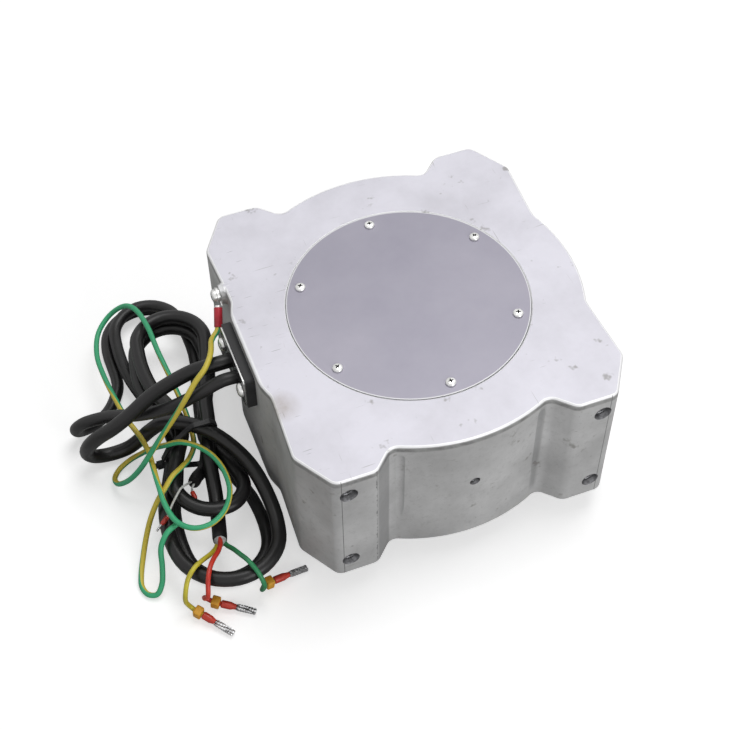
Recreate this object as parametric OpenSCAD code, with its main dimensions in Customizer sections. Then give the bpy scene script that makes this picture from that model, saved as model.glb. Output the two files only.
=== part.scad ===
// Flat permanent-magnet drive motor with an encoder at the rear, a toothed belt
// pulley on the output side and two free cables with an earth wire.
// Millimetres, +Z up. The shaft turns on Z and its output end is at the origin,
// so the motor rests on its pulley with the round rear cover on top.

/* [Body casting] */
// Width across the plain side faces of the four corner lugs
body_x = 177.6; // [177:0.2:180]
// Depth across the drilled faces of the four corner lugs
body_y = 188; // [187:0.2:192]
// Height of the casting
body_h = 86; // [80:1:96]
// Gap between the shaft end and the underside of the casting
stand_off = 15; // [15:1:20]
// Radius of the round lobes between the lugs
lobe_r = 93; // [92.6:0.1:94]
// Half the distance across the lugs where a drilled face begins
lug_face_in = 53; // [50:0.5:55]
// Half the distance across the lugs where a drilled face ends
lug_face_out = 75; // [74:0.5:77]
// Height of a lug's side face above the centre line, seen from above
lug_side_y = 72; // [68:0.5:74]
// Corner of the notch between a lug and the front lobe, across
notch_x = 43.5; // [42:0.5:45]
// Corner of the notch between a lug and the front lobe, in depth
notch_y = 84.5; // [84.2:0.1:86]
// Half width at the shallow valley beside a side lobe
valley_x = 87; // [86.6:0.1:88]
// Place of the shallow valley beside a side lobe
valley_y = 37; // [34:0.5:42]
// Distance of the flat cable pad from the shaft
pad_x = 90; // [89.6:0.1:91]
// Radius on the lug corners
lug_r = 5; // [3:0.5:6]

/* [Mounting holes] */
// Distance between the threaded holes of a face, across
mount_dx = 136; // [134:0.5:138]
// Height of a threaded hole above the underside, and of its twin below the top
mount_low = 13; // [12:0.5:14]
// Core diameter of the M8 threads in the lugs
mount_d = 6.8; // [6.6:0.1:8]
// Depth of the M8 threads
mount_depth = 20; // [16:1:22]
// Core diameter of the M5 thread in the front lobe
lobe_hole_d = 4.2; // [4:0.1:5]
// Depth of the M5 thread
lobe_hole_depth = 8; // [6:0.5:9]
// Height of the M5 thread above the underside of the casting
lobe_hole_z = 47; // [40:1:50]

/* [Rear cover] */
// Diameter of the cover
cover_d = 128; // [120:0.5:134]
// Thickness of the cover
cover_t = 2.5; // [2:0.1:2.8]
// Thickness of the gasket below it
cover_gasket_t = 0.5; // [0.3:0.1:0.8]
// Gap round the cover
cover_gap = 0.3; // [0.2:0.1:0.8]

/* [Motor parts] */
// Bore of the casting that holds the stator
stator_bore_r = 82; // [81.5:0.1:82.5]
// Height of the laminations above the underside of the casting
stack_z = 15; // [14:0.5:16]
// Number of stator teeth and coils
teeth = 24; // [18:1:26]
// Number of rotor magnets
poles = 20; // [16:2:22]
// Radial thickness of a magnet
magnet_t = 3.4; // [3:0.1:3.6]
// Air gap between magnets and teeth
air_gap = 0.6; // [0.5:0.1:0.8]

/* [Shaft and pulley] */
// Diameter of the shaft in the bearings
bearing_bore = 20; // [20:0.1:20.2]
// Diameter of the shaft between the bearings
shaft_mid_d = 25; // [24:0.5:27]
// Diameter of the shaft in the pulley
shaft_end_d = 16; // [14:0.5:17]
// Core diameter of the M6 thread in the shaft end
shaft_thread_d = 5; // [4.6:0.1:5.2]
// Depth of that thread
shaft_thread_depth = 16; // [12:1:18]
// Teeth of the output pulley
pulley_teeth = 32; // [30:1:34]
// Pitch of the belt
belt_pitch = 5; // [4.8:0.1:5.2]
// Width between the pulley flanges
pulley_track = 11; // [10:0.5:11]
// Thickness of a pulley flange
flange_t = 1.5; // [1:0.1:1.5]

/* [Cables] */
// Diameter of the power cable
power_d = 8; // [7.6:0.1:8]
// Diameter of the encoder cable
signal_d = 7; // [6.6:0.1:7]
// Diameter of the earth wire
earth_d = 3; // [2.6:0.1:3]
// Diameter of a power core
core_d = 2.6; // [2.2:0.1:2.8]

/* [Hidden] */
$fn = 96;
// Overrun of every cut
over = 1;
// Radial clearance of a seated or pressed round fit
seat = 0.02;
// Radial clearance of a part that runs past a fixed one
running = 0.1;
// Depth of the small edge breaks
edge = 0.6;

// Heights
z0 = stand_off;
z1 = z0 + body_h;
ledge_z = z1 - cover_t - cover_gasket_t;
well_depth = 21;
well_floor_z = ledge_z - well_depth;
web_t = 7;
web_z = well_floor_z - web_t;
top_wall = 10;
cavity_z1 = z1 - top_wall;
shield_t = 7;
shield_z1 = z0 + shield_t;
stack_z0 = z0 + stack_z;
rotor_room = 6;
stack_z1 = web_z - rotor_room;
stack_h = stack_z1 - stack_z0;
stack_mid = stack_z0 + stack_h / 2;
stator_step = 2;

// Encoder well inside the casting and the ledge that carries the cover
cover_r = cover_d / 2;
ledge_w = 12;
well_r = cover_r - ledge_w;
well_wall = 6;
well_out_r = well_r + well_wall;
ring_chamfer = 0.6;

// Ball bearings
brg_r = 23.5;
brg_w = 14;
ball_d = 7.94;
balls = 8;
ball_pitch_r = (brg_r + bearing_bore / 2) / 2;
race_gap = 0.12;
land_t = 3.3;
cage_t = 2.4;
cage_h = 9;
brg_edge = 0.8;
front_brg_z = shield_z1;
washer_t = 1.5;
lip_t = 2.5;
lip_r = 18;
rear_brg_z1 = well_floor_z - lip_t - washer_t;
rear_brg_z = rear_brg_z1 - brg_w;
boss_r = 31;
boss_over = 1;
front_boss_h = 3;
clip_t = 1.2;
clip_lip = 1.2;
clip_w = 3;

// End shield in the underside of the casting
shield_r = 85;
shield_gap = 0.2;
spigot_h = 3;
spigot_wall = 4;
ear_r = 8;
ear_at = 91;
shield_screw_d = 5;
shield_screw_len = 16;
shield_head_d = 9.2;
shield_head_t = 2.7;
seal_r = 15;
seal_lip = 1.2;

// Stator and coils
stator_t = 24;
stator_in_r = stator_bore_r - stator_t;
yoke_t = 8;
tooth_w = 7;
shoe_t = 2.5;
slot_open = 3;
bobbin_t = 0.8;
bobbin_gap = 0.1;
bobbin_in_r = stator_in_r + shoe_t + bobbin_gap;
bobbin_out_r = stator_bore_r - yoke_t - bobbin_gap - edge;
coil_in_r = bobbin_in_r + bobbin_t;
coil_out_r = bobbin_out_r - bobbin_t;
coil_gap = 0.6;
coil_end = 4.5;
coil_round = 3;
coil_w = 2 * PI * coil_in_r / teeth - coil_gap;
coil_z1 = stack_z1 + bobbin_t + bobbin_gap + coil_end;

// Rotor
magnet_r = stator_in_r - air_gap;
rim_r = magnet_r - magnet_t;
rim_t = 6;
hub_r = 20;
hub_z0 = front_brg_z + brg_w + front_boss_h + over;
hub_z1 = rear_brg_z - boss_over - over;
web_r_holes = 34;
web_hole_d = 16;
web_share = 6 / 17;
rotor_web_t = web_share * (hub_z1 - hub_z0);
rotor_web_z = (hub_z0 + hub_z1 - rotor_web_t) / 2;
magnet_share = 0.8;

// Shaft, key and pulley
pulley_h = pulley_track + 2 * flange_t;
pulley_pr = pulley_teeth * belt_pitch / (2 * PI);
belt_line = 0.57;
pulley_r = pulley_pr - belt_line;
tooth_r = 1.5;
tooth_sink = 0.55;
flange_lip = 2.5;
flange_seat = 5;
flange_in_r = pulley_r - flange_seat;
key_w = 5;
key_l = 10;
key_h = 5;
key_sink = 3;
key_top = 0.3;
grub_d = 4;
grub_l = 6;
tail_d = 10;
tail_l = 7;
holder_d = 16;
holder_l = 10;
magnet_d = 10;
magnet_h = 3;
clip_gap = 0.1;

// Encoder board
board_t = 1.6;
board_r = 40;
board_drop = 7;
board_z = ledge_z - board_drop;
post_at = 33;
post_d = 6;
post_stud = 4;
post_stud_d = 3;
board_screw_d = 2.5;
board_screw_l = 6;
chip_w = 6;
chip_t = 1;
plug_wire_l = 10;
plug_w = 12;
plug_l = 7;
plug_h = 6;
part_w = 5;
part_shares = [[-0.38, 0.3], [0.2, -0.5], [0.45, 0.2]];
part_t = 1.8;

// Screws of the cover and their holes, midway along the ledge
cover_screw_in = 6.5;
cover_pcd = cover_d - 2 * cover_screw_in;
cover_screw_d = 3;
cover_screw_l = 8;
cover_head_d = 5.6;
cover_head_h = 1.9;
hole_play = 0.2;

// Cable clamp on the flat pad
clamp_y = 5;
clamp_drop = 17.5;
clamp_w = 42;
clamp_h = 23;
clamp_r = 2;
clamp_block_t = 5;
clamp_plate_t = 1;
clamp_margin = 1;
clamp_screw_dy = 16;
clamp_screw_d = 4;
clamp_screw_l = 12;
clamp_head_d = 7.6;
clamp_head_h = 2.9;
cable_drop = 19;
cable_half = 5.8;
power_y = clamp_y + cable_half;
signal_y = clamp_y - cable_half;
cable_z = z1 - cable_drop;
clamp_z = z1 - clamp_drop;
clamp_x = -pad_x - clamp_block_t - clamp_plate_t;
bush_l = 6;
bush_wall = 1.2;

// Cable ends inside the casting
power_in_l = 5;
signal_in_l = 6;
signal_in_x = -well_r + signal_in_l;
plug_x = signal_in_x + plug_wire_l;
phase_d = 1.8;
phase_half = 2.4;
phase_shift = 7;
knee_share = 1.1;
signal_wire_d = 1;
signal_wire_dy = 1.4;

// Earth terminal on a small boss of the rear left lug
earth_y = 45;
earth_drop = 6.2;
earth_z = z1 - earth_drop;
earth_proud = 3;
earth_flank = max(valley_x, sqrt(lobe_r * lobe_r - earth_y * earth_y));
earth_x = -min(pad_x, earth_flank) - earth_proud;
earth_spot_r = 5.2;
earth_screw_d = 4;
earth_screw_l = 12;
earth_head_d = 7.4;
earth_head_h = 2.8;
earth_washer_d = 8.6;
earth_washer_t = 0.9;
tongue_t = 0.8;
tongue_d = 8;
tongue_neck = 3.4;
barrel_from = 5.4;
barrel_l = 10.5;
barrel_d = 3.4;
sleeve_d = 4.6;
earth_down = 36;
earth_out = 16;

// Lug holes and their edges
mount_dz = body_h - 2 * mount_low;
mount_mouth_d = 9.4;
mount_mouth_t = 1.3;
lobe_mouth_d = 5.6;
lobe_mouth_t = 0.7;

// Outline of the casting

// Point list of a closed outline with its corners rounded by the radii in r
function rounded(p, r, steps = 6) = [
    for (i = [0 : len(p) - 1])
        let (
            a = p[(i + len(p) - 1) % len(p)], b = p[i], c = p[(i + 1) % len(p)],
            u = (a - b) / norm(a - b), v = (c - b) / norm(c - b),
            half = acos(u * v) / 2,
            m = (u + v) / norm(u + v),
            o = b + m * r[i] / sin(half),
            s = o - b,
            t1 = b + u * (u * s) - o, t2 = b + v * (v * s) - o,
            turn = t1.x * t2.y - t1.y * t2.x > 0 ? 1 : -1,
            sweep = 180 - 2 * half
        )
        for (k = [0 : steps])
            let (w = turn * sweep * k / steps)
            o + [t1.x * cos(w) - t1.y * sin(w), t1.x * sin(w) + t1.y * cos(w)]
];

lug_corner = [
    [valley_x, valley_y],
    [body_x / 2, lug_side_y],
    [lug_face_out, body_y / 2],
    [lug_face_in, body_y / 2],
    [notch_x, notch_y]
];
corner_r = [lug_r, lug_r, lug_r, lug_r, lug_r / 2];
last = len(lug_corner) - 1;
body_points = concat(
    lug_corner,
    [for (i = [last : -1 : 0]) [-lug_corner[i].x, lug_corner[i].y]],
    [for (p = lug_corner) -p],
    [for (i = [last : -1 : 0]) [lug_corner[i].x, -lug_corner[i].y]]
);
body_radii = concat(
    corner_r, [for (i = [last : -1 : 0]) corner_r[i]],
    corner_r, [for (i = [last : -1 : 0]) corner_r[i]]
);

module body_outline() {
    difference() {
        union() {
            circle(r = lobe_r, $fn = 180);
            polygon(rounded(body_points, body_radii));
        }
        translate([-pad_x - lobe_r, -lug_side_y])
            square([lobe_r, 2 * lug_side_y]);
    }
}

// Shared shapes

// Screw with its head above z = 0 and its shank below
module pan_screw(d, l, head_d, head_h) {
    difference() {
        union() {
            translate([0, 0, -l]) cylinder(d = d, h = l + head_h / 2);
            rotate_extrude() polygon([
                [0, 0], [head_d / 2, 0], [head_d / 2, head_h / 2],
                [head_d / 2 - head_h / 4, head_h], [0, head_h]
            ]);
        }
        for (a = [0, 90])
            rotate(a) translate([-head_d * 0.28, -head_d / 14, head_h * 0.4])
                cube([head_d * 0.56, head_d / 7, head_h]);
    }
}

module flat_screw(d, l, head_d, head_t) {
    difference() {
        union() {
            translate([0, 0, -l]) cylinder(d = d, h = l - head_t / 2);
            translate([0, 0, -head_t]) cylinder(d1 = d, d2 = head_d, h = head_t);
        }
        translate([0, 0, -head_t * 0.7]) cylinder(d = head_d / 2, h = head_t, $fn = 6);
    }
}

module ring(r_out, r_in, h) {
    difference() {
        cylinder(r = r_out, h = h);
        translate([0, 0, -over]) cylinder(r = r_in, h = h + 2 * over);
    }
}

module round_rect(w, h, r) {
    square([w - 2 * r, h], center = true);
    square([w, h - 2 * r], center = true);
    for (x = [-1, 1], y = [-1, 1])
        translate([x * (w / 2 - r), y * (h / 2 - r)]) circle(r = r, $fn = 32);
}

// Round bar between two points
module rod(a, b, d) {
    v = b - a;
    translate(a)
        rotate([0, acos(v.z / norm(v)), atan2(v.y, v.x)])
            cylinder(d = d, h = norm(v), $fn = 24);
}

module each_cover_screw() {
    for (i = [0 : 5]) rotate(30 + 60 * i) translate([cover_pcd / 2, 0, 0]) children();
}

module each_ear() {
    for (i = [0 : 3]) rotate(45 + 90 * i) translate([ear_at, 0, 0]) children();
}

module each_post() {
    for (i = [0 : 2]) rotate(120 * i) translate([post_at, 0, 0]) children();
}

// Puts a shape that points up onto the left side of the casting, pointing out of it
module on_left(x, y, z) {
    translate([x, y, z]) rotate([0, -90, 0]) children();
}

// Casting

module shield_outline(gap) {
    circle(r = shield_r + gap, $fn = 180);
    each_ear() {
        circle(r = ear_r + gap);
        translate([-ear_r * 2, -ear_r - gap]) square([ear_r * 2, 2 * (ear_r + gap)]);
    }
}

module threaded_mouth(d, depth, mouth_d, mouth_t) {
    translate([0, 0, -depth]) cylinder(d = d, h = depth + over);
    translate([0, 0, -mouth_t]) cylinder(d1 = d, d2 = mouth_d, h = mouth_t);
    translate([0, 0, -seat]) cylinder(d = mouth_d, h = over);
}

module housing() {
    color([0.84, 0.84, 0.86])
    difference() {
        union() {
            translate([0, 0, z0]) linear_extrude(body_h) body_outline();
            on_left(earth_x + earth_proud + over, earth_y, earth_z)
                cylinder(r = earth_spot_r, h = earth_proud + over);
        }
        rotate_extrude($fn = 180) polygon([
            [0, z0 - over],
            [stator_bore_r, z0 - over],
            [stator_bore_r, stack_z1],
            [stator_bore_r - stator_step, stack_z1],
            [stator_bore_r - stator_step, cavity_z1],
            [well_out_r, cavity_z1],
            [well_out_r, web_z],
            [boss_r, web_z],
            [boss_r, rear_brg_z - boss_over],
            [brg_r + seat, rear_brg_z - boss_over],
            [brg_r + seat, well_floor_z - lip_t],
            [lip_r, well_floor_z - lip_t],
            [lip_r, well_floor_z],
            [well_r, well_floor_z],
            [well_r, ledge_z],
            [cover_r + cover_gap, ledge_z],
            [cover_r + cover_gap, z1 - ring_chamfer],
            [cover_r + cover_gap + ring_chamfer, z1],
            [cover_r + cover_gap + ring_chamfer, z1 + over],
            [0, z1 + over]
        ]);
        translate([0, 0, z0 - over]) linear_extrude(shield_t + over) shield_outline(shield_gap);
        for (x = [-1, 1], y = [-1, 1], z = [0, 1])
            translate([x * mount_dx / 2, y * body_y / 2, z0 + mount_low + z * mount_dz])
                rotate([-90 * y, 0, 0])
                    threaded_mouth(mount_d, mount_depth, mount_mouth_d, mount_mouth_t);
        translate([0, -lobe_r, z0 + lobe_hole_z])
            rotate([90, 0, 0]) threaded_mouth(lobe_hole_d, lobe_hole_depth, lobe_mouth_d, lobe_mouth_t);
        translate([0, 0, ledge_z - cover_screw_l])
            each_cover_screw() cylinder(d = cover_screw_d + 2 * seat, h = cover_screw_l + over);
        translate([0, 0, shield_z1 - over])
            each_ear() cylinder(d = shield_screw_d + 2 * seat, h = shield_screw_len + over - shield_t + edge);
        translate([0, 0, well_floor_z - post_stud - edge])
            each_post() cylinder(d = post_stud_d + 2 * seat, h = post_stud + edge + over);
        for (c = [[power_y, power_d], [signal_y, signal_d]])
            on_left(-stator_bore_r + stator_step * 2, c[0], cable_z)
                cylinder(d = c[1] + 2 * bush_wall + 2 * seat, h = pad_x);
        on_left(-well_r + over, signal_y, cable_z)
            cylinder(d = signal_d + 2 * running, h = well_wall + 2 * over);
        for (s = [-1, 1])
            on_left(-pad_x + clamp_screw_l - clamp_block_t - clamp_plate_t + edge,
                    clamp_y + s * clamp_screw_dy, clamp_z)
                cylinder(d = clamp_screw_d + 2 * seat, h = clamp_screw_l);
        on_left(earth_x, earth_y, earth_z) cylinder(r = earth_spot_r, h = earth_screw_l);
        on_left(earth_x + earth_screw_l, earth_y, earth_z)
            cylinder(d = earth_screw_d + 2 * seat, h = earth_screw_l + over);
    }
}

module rear_cover() {
    color([0.68, 0.67, 0.73])
    translate([0, 0, ledge_z + cover_gasket_t])
    difference() {
        cylinder(r = cover_r, h = cover_t, $fn = 180);
        translate([0, 0, -over]) each_cover_screw()
            cylinder(d = cover_screw_d + 2 * hole_play, h = cover_t + 2 * over);
    }
}

module cover_gasket() {
    color([0.16, 0.16, 0.17])
    translate([0, 0, ledge_z])
    difference() {
        ring(cover_r, well_r, cover_gasket_t);
        translate([0, 0, -over]) each_cover_screw()
            cylinder(d = cover_screw_d + 2 * hole_play, h = cover_t + 2 * over);
    }
}

module cover_screws() {
    color([0.86, 0.86, 0.84])
    translate([0, 0, z1])
        each_cover_screw() pan_screw(cover_screw_d, cover_screw_l, cover_head_d, cover_head_h);
}

// End shield

module end_shield() {
    color([0.8, 0.8, 0.82])
    difference() {
        union() {
            translate([0, 0, z0]) linear_extrude(shield_t) shield_outline(0);
            translate([0, 0, z0])
                ring(stator_bore_r - seat, stator_bore_r - spigot_wall, shield_t + spigot_h);
            translate([0, 0, z0]) cylinder(r = boss_r, h = shield_t + brg_w + front_boss_h);
        }
        rotate_extrude() polygon([
            [0, z0 - over],
            [seal_r + seat, z0 - over],
            [seal_r + seat, shield_z1],
            [brg_r + seat, shield_z1],
            [brg_r + seat, shield_z1 + brg_w],
            [brg_r + clip_lip, shield_z1 + brg_w],
            [brg_r + clip_lip, shield_z1 + brg_w + clip_t + clip_gap],
            [brg_r + seat, shield_z1 + brg_w + clip_t + clip_gap],
            [brg_r + seat, shield_z1 + brg_w + front_boss_h + over],
            [0, shield_z1 + brg_w + front_boss_h + over]
        ]);
        translate([0, 0, z0 - over]) each_ear() {
            shank_d = shield_screw_d + 2 * hole_play;
            head_d = shield_head_d + 2 * hole_play;
            cylinder(d = shank_d, h = shield_t + 2 * over);
            cylinder(d = head_d, h = over + hole_play);
            translate([0, 0, over + hole_play]) cylinder(d1 = head_d, d2 = shank_d, h = shield_head_t);
        }
    }
}

module shield_screws() {
    color([0.3, 0.3, 0.32])
    translate([0, 0, z0]) each_ear()
        rotate([180, 0, 0]) flat_screw(shield_screw_d, shield_screw_len, shield_head_d, shield_head_t);
}

module shaft_seal() {
    color([0.12, 0.12, 0.13])
    translate([0, 0, z0]) rotate_extrude() polygon([
        [seal_r, 0], [seal_r, shield_t],
        [bearing_bore / 2 + seal_lip, shield_t],
        [bearing_bore / 2 + seal_lip, shield_t / 2],
        [bearing_bore / 2 + running, shield_t / 3],
        [bearing_bore / 2 + running, 0]
    ]);
}

// Stator

module stator_core() {
    color([0.4, 0.4, 0.42])
    translate([0, 0, stack_z0]) linear_extrude(stack_h)
    difference() {
        union() {
            difference() {
                circle(r = stator_bore_r - seat, $fn = 180);
                circle(r = stator_bore_r - yoke_t, $fn = 180);
            }
            difference() {
                circle(r = stator_in_r + shoe_t, $fn = 180);
                for (i = [0 : teeth - 1])
                    rotate((i + 0.5) * 360 / teeth) translate([0, -slot_open / 2])
                        square([stator_bore_r - yoke_t / 2, slot_open]);
            }
            for (i = [0 : teeth - 1])
                rotate(i * 360 / teeth) translate([stator_in_r - over, -tooth_w / 2])
                    square([stator_bore_r - yoke_t / 2 - stator_in_r + over, tooth_w]);
        }
        circle(r = stator_in_r, $fn = 180);
    }
}

// Rectangular frame round a tooth, from one radius to another
module tooth_frame(r_in, r_out, w, h, wall) {
    translate([r_in, 0, stack_mid]) difference() {
        translate([0, -w / 2 - wall, -h / 2 - wall]) cube([r_out - r_in, w + 2 * wall, h + 2 * wall]);
        translate([-over, -w / 2, -h / 2]) cube([r_out - r_in + 2 * over, w, h]);
    }
}

module coil_bobbins() {
    w = tooth_w + 2 * bobbin_gap;
    h = stack_h + 2 * bobbin_gap;
    color([0.92, 0.9, 0.82])
    for (i = [0 : teeth - 1]) rotate(i * 360 / teeth) union() {
        tooth_frame(bobbin_in_r, bobbin_out_r, w, h, bobbin_t);
        tooth_frame(bobbin_in_r, coil_in_r, w, h, coil_end / 2 + bobbin_t);
        tooth_frame(coil_out_r, bobbin_out_r, w, h, coil_end / 2 + bobbin_t);
    }
}

module stator_coils() {
    w = tooth_w + 2 * (bobbin_gap + bobbin_t + seat);
    h = stack_h + 2 * (bobbin_gap + bobbin_t + seat);
    color([0.72, 0.42, 0.2])
    for (i = [0 : teeth - 1]) rotate(i * 360 / teeth)
        translate([coil_in_r + seat, 0, stack_mid]) rotate([90, 0, 90])
            linear_extrude(coil_out_r - coil_in_r - 2 * seat) difference() {
                round_rect(coil_w, h + 2 * coil_end, coil_round);
                square([w, h], center = true);
            }
}

module phase_leads() {
    x0 = -stator_bore_r + stator_step + power_in_l;
    x1 = -(coil_in_r + coil_out_r) / 2;
    color([0.75, 0.2, 0.15])
    for (i = [-1, 0, 1]) {
        a = [x0, power_y + i * phase_half, cable_z];
        b = [x1, power_y + i * phase_half + phase_shift, cable_z];
        c = [b.x, b.y, coil_z1 - edge];
        rod(a, b, phase_d);
        translate(b) sphere(d = phase_d * knee_share, $fn = 24);
        rod(c, b, phase_d);
    }
}

// Bearings

module bearing_outer() {
    difference() {
        rotate_extrude() polygon([
            [brg_r - land_t, 0], [brg_r - brg_edge, 0], [brg_r, brg_edge],
            [brg_r, brg_w - brg_edge], [brg_r - brg_edge, brg_w], [brg_r - land_t, brg_w]
        ]);
        translate([0, 0, brg_w / 2]) rotate_extrude()
            translate([ball_pitch_r, 0]) circle(d = ball_d + 2 * race_gap, $fn = 48);
    }
}

module bearing_inner() {
    r = bearing_bore / 2 + seat;
    difference() {
        rotate_extrude() polygon([
            [r + brg_edge, 0], [r + land_t, 0], [r + land_t, brg_w],
            [r + brg_edge, brg_w], [r, brg_w - brg_edge], [r, brg_edge]
        ]);
        translate([0, 0, brg_w / 2]) rotate_extrude()
            translate([ball_pitch_r, 0]) circle(d = ball_d + 2 * race_gap, $fn = 48);
    }
}

module bearing_balls() {
    for (i = [0 : balls - 1]) rotate(i * 360 / balls)
        translate([ball_pitch_r, 0, brg_w / 2]) sphere(d = ball_d, $fn = 32);
}

module bearing_cage() {
    difference() {
        translate([0, 0, (brg_w - cage_h) / 2])
            ring(ball_pitch_r + cage_t / 2, ball_pitch_r - cage_t / 2, cage_h);
        for (i = [0 : balls - 1]) rotate(i * 360 / balls)
            translate([ball_pitch_r - cage_t, 0, brg_w / 2]) rotate([0, 90, 0])
                cylinder(d = ball_d + 2 * seat, h = 2 * cage_t);
    }
}

module front_bearing_outer() { color([0.66, 0.67, 0.7]) translate([0, 0, front_brg_z]) bearing_outer(); }
module front_bearing_inner() { color([0.66, 0.67, 0.7]) translate([0, 0, front_brg_z]) bearing_inner(); }
module front_balls() { color([0.8, 0.81, 0.84]) translate([0, 0, front_brg_z]) bearing_balls(); }
module front_cage() { color([0.75, 0.6, 0.3]) translate([0, 0, front_brg_z]) bearing_cage(); }
module rear_bearing_outer() { color([0.66, 0.67, 0.7]) translate([0, 0, rear_brg_z]) bearing_outer(); }
module rear_bearing_inner() { color([0.66, 0.67, 0.7]) translate([0, 0, rear_brg_z]) bearing_inner(); }
module rear_balls() { color([0.8, 0.81, 0.84]) translate([0, 0, rear_brg_z]) bearing_balls(); }
module rear_cage() { color([0.75, 0.6, 0.3]) translate([0, 0, rear_brg_z]) bearing_cage(); }

// Open spring ring
module circlip(r_out, r_in) {
    rotate(10) rotate_extrude(angle = 340) translate([r_in, 0]) square([r_out - r_in, clip_t]);
}

module bearing_circlip() {
    color([0.25, 0.25, 0.27])
    translate([0, 0, front_brg_z + brg_w + clip_gap / 2])
        circlip(brg_r + clip_lip - clip_gap, brg_r + clip_lip - clip_w);
}

module shaft_circlip() {
    color([0.25, 0.25, 0.27])
    translate([0, 0, rear_brg_z1 + clip_gap / 2])
        circlip(bearing_bore / 2 - clip_lip + clip_w, bearing_bore / 2 - clip_lip + clip_gap);
}

module wave_washer() {
    color([0.5, 0.5, 0.53])
    translate([0, 0, rear_brg_z1]) ring(brg_r - clip_gap, brg_r - land_t, washer_t - clip_gap);
}

// Shaft and what it carries

module output_shaft() {
    r = bearing_bore / 2;
    top = rear_brg_z1 + 2 * clip_t + clip_gap;
    color([0.7, 0.71, 0.73])
    difference() {
        rotate_extrude() polygon([
            [0, 0],
            [shaft_end_d / 2 - edge, 0],
            [shaft_end_d / 2, edge],
            [shaft_end_d / 2, pulley_h],
            [r, pulley_h],
            [r, front_brg_z + brg_w],
            [shaft_mid_d / 2, front_brg_z + brg_w],
            [shaft_mid_d / 2, rear_brg_z],
            [r, rear_brg_z],
            [r, rear_brg_z1],
            [r - clip_lip, rear_brg_z1],
            [r - clip_lip, rear_brg_z1 + clip_t + clip_gap],
            [r, rear_brg_z1 + clip_t + clip_gap],
            [r, top],
            [tail_d / 2, top],
            [tail_d / 2, top + tail_l],
            [0, top + tail_l]
        ]);
        translate([0, 0, -over]) cylinder(d = shaft_thread_d, h = shaft_thread_depth + over);
        translate([shaft_end_d / 2 - key_sink, -key_w / 2, (pulley_h - key_l) / 2])
            cube([shaft_end_d, key_w, key_l]);
    }
}

module shaft_key() {
    color([0.5, 0.5, 0.52])
    translate([shaft_end_d / 2 - key_sink, -key_w / 2, (pulley_h - key_l) / 2])
        cube([key_h, key_w, key_l]);
}

module drive_pulley() {
    color([0.62, 0.63, 0.66])
    difference() {
        union() {
            translate([0, 0, flange_t]) linear_extrude(pulley_track) difference() {
                circle(r = pulley_r, $fn = 180);
                for (i = [0 : pulley_teeth - 1])
                    rotate((i + 0.5) * 360 / pulley_teeth)
                        translate([pulley_r - tooth_sink, 0]) circle(r = tooth_r, $fn = 24);
            }
            cylinder(r = flange_in_r, h = pulley_h);
        }
        translate([0, 0, -over]) cylinder(d = shaft_end_d + 2 * seat, h = pulley_h + 2 * over);
        translate([0, -key_w / 2, -over])
            cube([shaft_end_d / 2 - key_sink + key_h + key_top, key_w, pulley_h + 2 * over]);
        for (a = [90, 270])
            rotate(a) translate([0, 0, pulley_h / 2]) rotate([0, 90, 0])
                cylinder(d = grub_d + 2 * seat, h = pulley_pr);
    }
}

module pulley_flanges() {
    color([0.72, 0.73, 0.75])
    for (z = [0, pulley_h - flange_t])
        translate([0, 0, z]) ring(pulley_r + flange_lip, flange_in_r + seat, flange_t);
}

module grub_screws() {
    color([0.2, 0.2, 0.22])
    for (a = [90, 270])
        rotate(a) translate([shaft_end_d / 2, 0, pulley_h / 2]) rotate([0, 90, 0]) difference() {
            cylinder(d = grub_d, h = grub_l);
            translate([0, 0, grub_l - grub_d / 2]) cylinder(d = grub_d / 2, h = grub_d, $fn = 6);
        }
}

module rotor_hub() {
    color([0.55, 0.56, 0.58])
    difference() {
        union() {
            translate([0, 0, hub_z0]) cylinder(r = hub_r, h = hub_z1 - hub_z0);
            translate([0, 0, rotor_web_z]) cylinder(r = rim_r - rim_t / 2, h = rotor_web_t, $fn = 180);
            translate([0, 0, stack_z0]) difference() {
                cylinder(r = rim_r, h = stack_h, $fn = 180);
                translate([0, 0, -over]) cylinder(r = rim_r - rim_t, h = stack_h + 2 * over, $fn = 180);
            }
        }
        translate([0, 0, stack_z0 - over]) cylinder(d = shaft_mid_d + 2 * seat, h = stack_h + 2 * over);
        for (i = [0 : 5]) rotate(60 * i)
            translate([web_r_holes, 0, stack_z0]) cylinder(d = web_hole_d, h = stack_h);
    }
}

module rotor_magnets() {
    color([0.45, 0.44, 0.42])
    for (i = [0 : poles - 1])
        rotate(i * 360 / poles) translate([0, 0, stack_z0])
            rotate_extrude(angle = magnet_share * 360 / poles, $fn = 180)
                translate([rim_r + seat, 0]) square([magnet_t - seat, stack_h]);
}

module magnet_holder() {
    z = rear_brg_z1 + 3 * clip_t;
    color([0.78, 0.78, 0.8])
    translate([0, 0, z]) difference() {
        cylinder(d = holder_d, h = holder_l);
        translate([0, 0, -over]) cylinder(d = tail_d + 2 * seat, h = holder_l - magnet_h + over);
        translate([0, 0, holder_l - magnet_h]) cylinder(d = magnet_d + 2 * seat, h = magnet_h + over);
    }
}

module encoder_magnet() {
    color([0.5, 0.5, 0.55])
    translate([0, 0, rear_brg_z1 + 3 * clip_t + holder_l - magnet_h]) cylinder(d = magnet_d, h = magnet_h);
}

// Encoder board and wiring

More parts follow.
